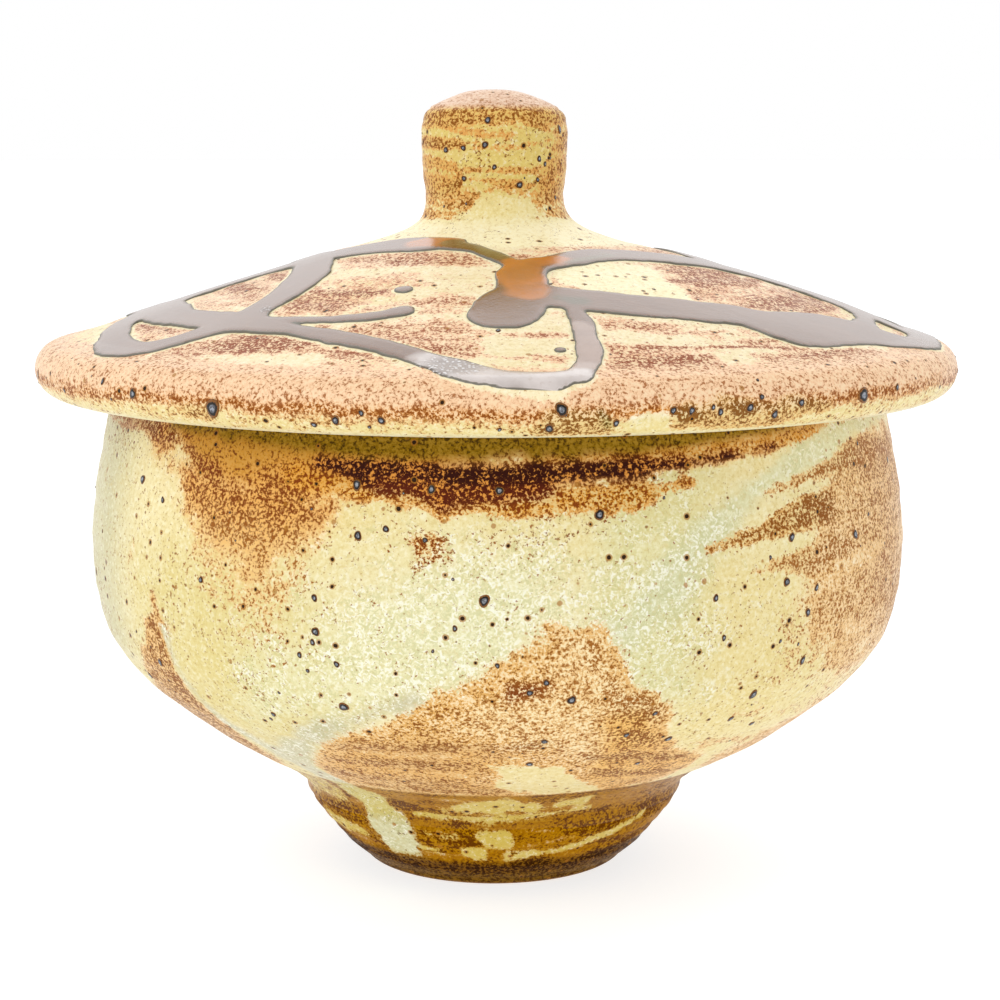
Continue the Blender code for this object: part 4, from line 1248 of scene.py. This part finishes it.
def thickened(name, top, bottom, faces):
    """A closed piece between two layers of points that share the same faces."""
    count = len(top)
    sides = {}
    for face in faces:
        for a, b in zip(face, face[1:] + face[:1]):
            if (b, a) in sides:
                del sides[b, a]
            else:
                sides[a, b] = (b, a, a + count, b + count)
    under = [[k + count for k in reversed(face)] for face in faces]
    return new_piece(name, np.vstack([top, bottom]) * MM, faces + list(sides.values()) + under)


def trail_piece(name):
    """The trailed glaze as a closed, rounded relief that follows the lid."""
    ticks = np.arange(-TRAIL_FIELD, TRAIL_FIELD + TRAIL_GRID, TRAIL_GRID)
    x, y = np.meshgrid(ticks, ticks, indexing="ij")
    gap = trail_distance(x, y)
    depth = blurred(np.clip(-gap, 0, TRAIL_SHOULDER * 1.25), 4)
    rows, faces = outlined(x, y, gap, depth)
    x, y, depth, inward = rows.T

    relief = TRAIL_RELIEF * np.sqrt(1 - (1 - np.clip(depth / TRAIL_SHOULDER, 0, 1)) ** 2)
    ground = lid_height(x, y)
    flat = np.column_stack([x, y, 0 * x])
    ripple = 0.05 * fractal(flat, 6.0, 2, seed=83)
    top = np.column_stack([x, y, ground + relief * (1 + ripple)])
    piece = thickened(name, top, np.column_stack([x, y, ground - TRAIL_ROOT]), faces)

    canvas = Canvas(flat, x, y)
    colour = np.tile(TRAIL_BROWN, (len(x), 1))
    # The pale front colours laid here are a painted reflection of the bright room; the others are the glaze's
    # own colour.
    for line, shade in TRAIL_TONES_AND_SHEEN:
        colour += canvas.draw(line, 0.8, 1.3)[:, None] * (shade - colour)
    front_froth = 1 - smoothstep(1.8, 4.6, np.hypot((x + 6.0) / 1.4, y + 68.2))
    # Painted highlight: the white blisters at the left stand for a small glint on the glossy trail; those at
    # the front are froth.
    left_froth_glint = 1 - smoothstep(0.4, 1.2, np.hypot(x + 34.3, (y + 38.2) / 1.6))
    # Painted shade along the trail's edge: how near each point is to the outline.
    edge = 1 - smoothstep(0.1, 0.38, inward)
    paint(piece, "trail_colour", np.vstack([colour, colour]))
    paint(piece, "trail_edge_shade", np.concatenate([edge, np.ones(len(x))]))
    paint(piece, "trail_froth_and_glint", np.concatenate([np.maximum(front_froth, left_froth_glint), np.zeros(len(x))]))
    return piece


# ---- Iron spots ----

# The larger iron spots: angle round the axis, height, radius.
BOWL_SPOTS = [
    (-1.5, 55.8, 0.62), (-20, 39, 0.62), (-22.5, 50.3, 0.5), (-20, 45.7, 0.38), (-23, 48.7, 0.35),
    (-25, 46.6, 0.35), (-32, 36, 0.38), (-40, 55.8, 0.38), (-55, 68.6, 0.55), (-49, 66.3, 0.38),
    (-17, 64.3, 0.48), (-17.5, 71.3, 0.55), (-8, 71, 0.5), (12.5, 67.4, 0.58), (0.3, 70.9, 0.5),
    (-13.5, 65.4, 0.38), (-22.5, 55.2, 0.38), (-5, 51.8, 0.32), (27.5, 54.7, 0.38), (40, 62, 0.5),
    (38.7, 55.7, 0.5), (54, 60.5, 0.58), (43, 50.5, 0.48), (36, 38.8, 0.62), (43.5, 43, 0.5),
    (34.5, 34.8, 0.42), (25.3, 32.5, 0.5), (40.5, 32.7, 0.42), (6.5, 33.8, 0.45), (5, 29, 0.5),
    (18, 34.2, 0.42), (21, 37.8, 0.38), (9.3, 41, 0.55), (4, 42.3, 0.42), (6, 43.8, 0.38),
    (23.5, 27.5, 0.4), (29, 48.7, 0.34), (44.5, 54, 0.42), (-52, 41, 0.5), (-60, 37, 0.5),
]
BRIM_SPOTS = [
    (-31.8, 82.2, 0.95), (-44, 83.2, 0.6), (44.2, 83, 0.85), (6.6, 83.2, 0.7), (5.4, 80.6, 0.55),
    (-17, 81.4, 0.5), (20.6, 82.6, 0.45), (27.6, 82.6, 0.5), (34.4, 82.8, 0.45), (-12, 81.6, 0.45),
    (31, 81.4, 0.5), (12.4, 81.2, 0.4),
]
KNOB_SPOTS = [
    (-7, 122.3, 0.45), (-9, 118.5, 0.42), (-42, 117.7, 0.4), (-26, 118, 0.35), (60, 121, 0.5),
    (35, 116.3, 0.38), (41, 115.5, 0.3), (-2, 115, 0.32), (18, 112.2, 0.45), (-26, 113.2, 0.35),
    (34, 113, 0.3),
]


def on_wall(line, shape, angle, height):
    """A point on a turned wall, the two directions along the wall there, and the one out of it."""

    def place(a, z):
        r = np.interp(z, line[::-1, 1], line[::-1, 0])
        moved_r, moved_z = shape(np.array([a]), np.array([r]), np.array([z]))
        turn = math.radians(a)
        return np.array([moved_r[0] * math.sin(turn), -moved_r[0] * math.cos(turn), moved_z[0]])

    sideways = place(angle + 0.3, height) - place(angle - 0.3, height)
    up = place(angle, height + 0.3) - place(angle, height - 0.3)
    sideways /= np.linalg.norm(sideways)
    up /= np.linalg.norm(up)
    return place(angle, height), sideways, up, np.cross(sideways, up)


SPOT_HALO = 1.3  # a spot with its brown halo, against the radius in the tables
SPOT_STRETCH = 1.15  # spots run a little as they melt, so they are taller than wide
SPOT_ROOT = 0.25  # how deep a spot reaches into the glaze
SPOT_SIDES, SPOT_RINGS = 16, 5


def spot_piece(name, spots):
    """Low glassy beads. spots holds (place, sideways, up, out, radius) for each."""
    points, faces, rim = [], [], []
    turns = np.linspace(0, 2 * math.pi, SPOT_SIDES, endpoint=False)
    for k, (place, sideways, up, out, radius) in enumerate(spots):
        radius *= SPOT_HALO
        wobble = 1 + 0.10 * np.sin(2 * turns + k) + 0.07 * np.sin(3 * turns + 2.3 * k)
        dome = 0.08 + 0.07 * radius
        first = len(points)
        points.append(place + out * dome)
        for ring in range(1, SPOT_RINGS + 1):
            share = ring / SPOT_RINGS
            height = dome * math.sqrt(max(0.0, 1 - share**2)) - 0.02 * share
            for turn, reach in zip(turns, wobble * radius * share):
                across = sideways * math.cos(turn) * reach + up * math.sin(turn) * reach * SPOT_STRETCH
                points.append(place + across + out * height)
        last = len(points)
        points.append(place - out * SPOT_ROOT)
        rim += [0.0, *np.repeat(np.arange(1, SPOT_RINGS + 1) / SPOT_RINGS, SPOT_SIDES), 1.0]
        ids = first + 1 + np.arange(SPOT_SIDES * SPOT_RINGS).reshape(SPOT_RINGS, SPOT_SIDES)
        ahead = np.roll(ids, -1, axis=1)
        faces += [(first, a, b) for a, b in zip(ids[0], ahead[0])]
        for ring in range(SPOT_RINGS - 1):
            faces += np.stack([ids[ring], ids[ring + 1], ahead[ring + 1], ahead[ring]], axis=1).tolist()
        faces += [(b, a, last) for a, b in zip(ids[-1], ahead[-1])]
    piece = new_piece(name, np.array(points) * MM, faces)
    paint(piece, "spot_rim", rim)
    return piece


def scattered(count, angles, heights, radii, seed):
    """Small spots strewn at random, smaller ones more often."""
    rng = np.random.default_rng(SEED + seed)
    spots = []
    for _ in range(count):
        size = radii[0] + (radii[1] - radii[0]) * rng.random() ** 2.2
        spots.append((rng.uniform(*angles), rng.uniform(*heights), size))
    return spots


def bowl_spots():
    line = np.vstack([smooth_line(BOWL_OUTER, 12), smooth_line(BOWL_FOOT, 12)])
    spots = BOWL_SPOTS + scattered(70, (-180, 180), (24, 74), (0.14, 0.34), 1)
    spots += scattered(26, (70, 290), (24, 74), (0.35, 0.6), 2)
    return spot_piece("iron_spots_bowl", [(*on_wall(line, as_thrown, a, z), size) for a, z, size in spots])


def lid_spots():
    brim = lid_profile()
    brim = brim[(brim[:, 0] > BRIM_RADIUS - BRIM_ROUND) & (brim[:, 1] > SEAT + 0.2)]
    knob = curve(KNOB_SIDE[:-2], 0.5, 10)
    on_brim = BRIM_SPOTS + scattered(60, (-180, 180), (80.2, 86.2), (0.14, 0.5), 3)
    on_brim += scattered(7, (70, 290), (80.8, 84.5), (0.6, 0.9), 4)
    on_knob = KNOB_SPOTS + scattered(16, (-180, 180), (108, 121), (0.12, 0.3), 5)
    on_knob += scattered(8, (75, 285), (109, 121), (0.3, 0.45), 6)
    on_top = scattered(46, (-180, 180), (88.4, 101), (0.14, 0.36), 7)
    spots = [(*on_wall(brim, lid_thrown, a, z), size) for a, z, size in on_brim]
    spots += [(*on_wall(LID_LINE, lid_thrown, a, z), size) for a, z, size in on_top]
    spots += [(*on_wall(knob, knob_thrown, a, z), size) for a, z, size in on_knob]
    return spot_piece("iron_spots_lid", spots)


# ---- The object ----

bowl = turned("glazed_bowl", bowl_profile(), 480, as_thrown, closed_ring=True)
paint_bowl(bowl)
foot = turned("glazed_foot", foot_profile(), 360, as_thrown, closed_ring=True)
paint_foot(foot)
lid = turned("glazed_lid", lid_profile(), 600, lid_thrown)
paint_lid(lid)
knob = turned("glazed_knob", knob_profile(), 160, knob_thrown)
paint_knob(knob)
flange = turned("lid_seat_ring", flange_profile(), 240, lambda angle, r, z: (r, z), closed_ring=True)
trails = trail_piece("raised_trails")
spots_on_bowl = bowl_spots()
spots_on_lid = lid_spots()

body_glaze = mottled_glaze("mottled_glaze_body")
foot_glaze = mottled_glaze("mottled_glaze_foot", shine=0.01)
lid_glaze = mottled_glaze("mottled_glaze_lid")
spot_glaze = iron_spot_glaze()

for piece, body, slot, material, replaced in (
    (bowl, "bowl", "mottled_glaze", body_glaze, ["bowl_body"]),
    (foot, "bowl", "foot_glaze", foot_glaze, ["foot_ring"]),
    (spots_on_bowl, "bowl", "mottled_glaze", spot_glaze, []),
    (lid, "lid", "mottled_glaze", lid_glaze, ["lid_dome"]),
    (knob, "lid", "mottled_glaze", lid_glaze, ["lid_knob"]),
    (flange, "lid", "liner_glaze", liner_glaze(), ["lid_flange"]),
    (trails, "lid", "trail_glaze", trail_glaze(), ["glaze_trails"]),
    (spots_on_lid, "lid", "mottled_glaze", spot_glaze, []),
):
    piece.data.materials.append(material)
    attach(piece, body)
    if replaced:
        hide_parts(*replaced)


# ---- Floor, light and camera ----


TENT_FRONT, TENT_BACK = 0.7, 1.25
TENT_LOW, TENT_HIGH = 0.95, 1.0
KEY_WATTS, BACK_WATTS = 2.9, 1.2
FLOOR_GLOW = 0.74
FLOOR_REACH = 60.0
WHITE = (1.0, 1.0, 1.0)
MIDDLE = Vector((0.0, 0.0, 0.07))


def floor():
    """A wide pale floor that runs out of sight in every direction."""
    corners = FLOOR_REACH * np.array([(-1, -1, 0), (1, -1, 0), (1, 1, 0), (-1, 1, 0)])
    piece = new_piece("floor", corners, [(0, 1, 2, 3)])
    n = new_material("pale_floor")
    pale = n.mix(n.ramp(n.noise(40.0), 0.3, 0.7), (0.38, 0.41, 0.44), (0.40, 0.43, 0.46))
    finished(n, pale, 0.9, Emission_Color=WHITE, Emission_Strength=FLOOR_GLOW)
    piece.data.materials.append(n.owner)


def softbox(name, place, size, watts):
    """A rectangular diffuser that faces the middle of the object."""
    lamp = bpy.data.lights.new(name, "AREA")
    lamp.shape = "RECTANGLE"
    lamp.size, lamp.size_y = size
    lamp.energy = watts
    piece = bpy.data.objects.new(name, lamp)
    piece.location = place
    piece.rotation_euler = (MIDDLE - Vector(place)).to_track_quat("-Z", "Y").to_euler()
    bpy.context.scene.collection.objects.link(piece)


def light_room():
    """A white tent of light, dimmer towards the camera, with large diffusers above and behind."""
    world = bpy.data.worlds.new("studio")
    n = Nodes(world, "Generated")
    direction = n.add("SeparateXYZ", Vector=n.place).outputs
    tent = n.times(
        n.ramp(direction["Y"], -0.6, 0.7, TENT_FRONT, TENT_BACK),
        n.ramp(direction["Z"], 0.0, 0.9, TENT_LOW, TENT_HIGH),
    )
    seen = n.add("LightPath").outputs["Is Camera Ray"]
    strength = n.add("Mix", Factor=seen, A=tent, B=1.0).outputs["Result"]
    n.fill(n.tree.nodes["Background"], Color=WHITE, Strength=strength)
    bpy.context.scene.world = world
    softbox("key", (-0.5, -0.75, 0.8), (0.7, 0.6), KEY_WATTS)
    softbox("back", (0.0, 0.85, 0.75), (1.6, 0.7), BACK_WATTS)


def photograph():
    """A long lens from in front, looking slightly down."""
    data = bpy.data.cameras.new("camera")
    data.sensor_width = 36.0
    data.lens = 82.73
    data.shift_x = 0.003
    data.clip_end = 200.0
    camera = bpy.data.objects.new("camera", data)
    camera.location = (0.0, -0.380, 0.1166)
    camera.rotation_euler = (math.radians(90 - 8.49), 0.0, 0.0)
    bpy.context.scene.collection.objects.link(camera)
    bpy.context.scene.camera = camera


floor()
light_room()
photograph()
bpy.context.scene.view_settings.view_transform = "Standard"
bpy.context.scene.view_settings.look = "None"
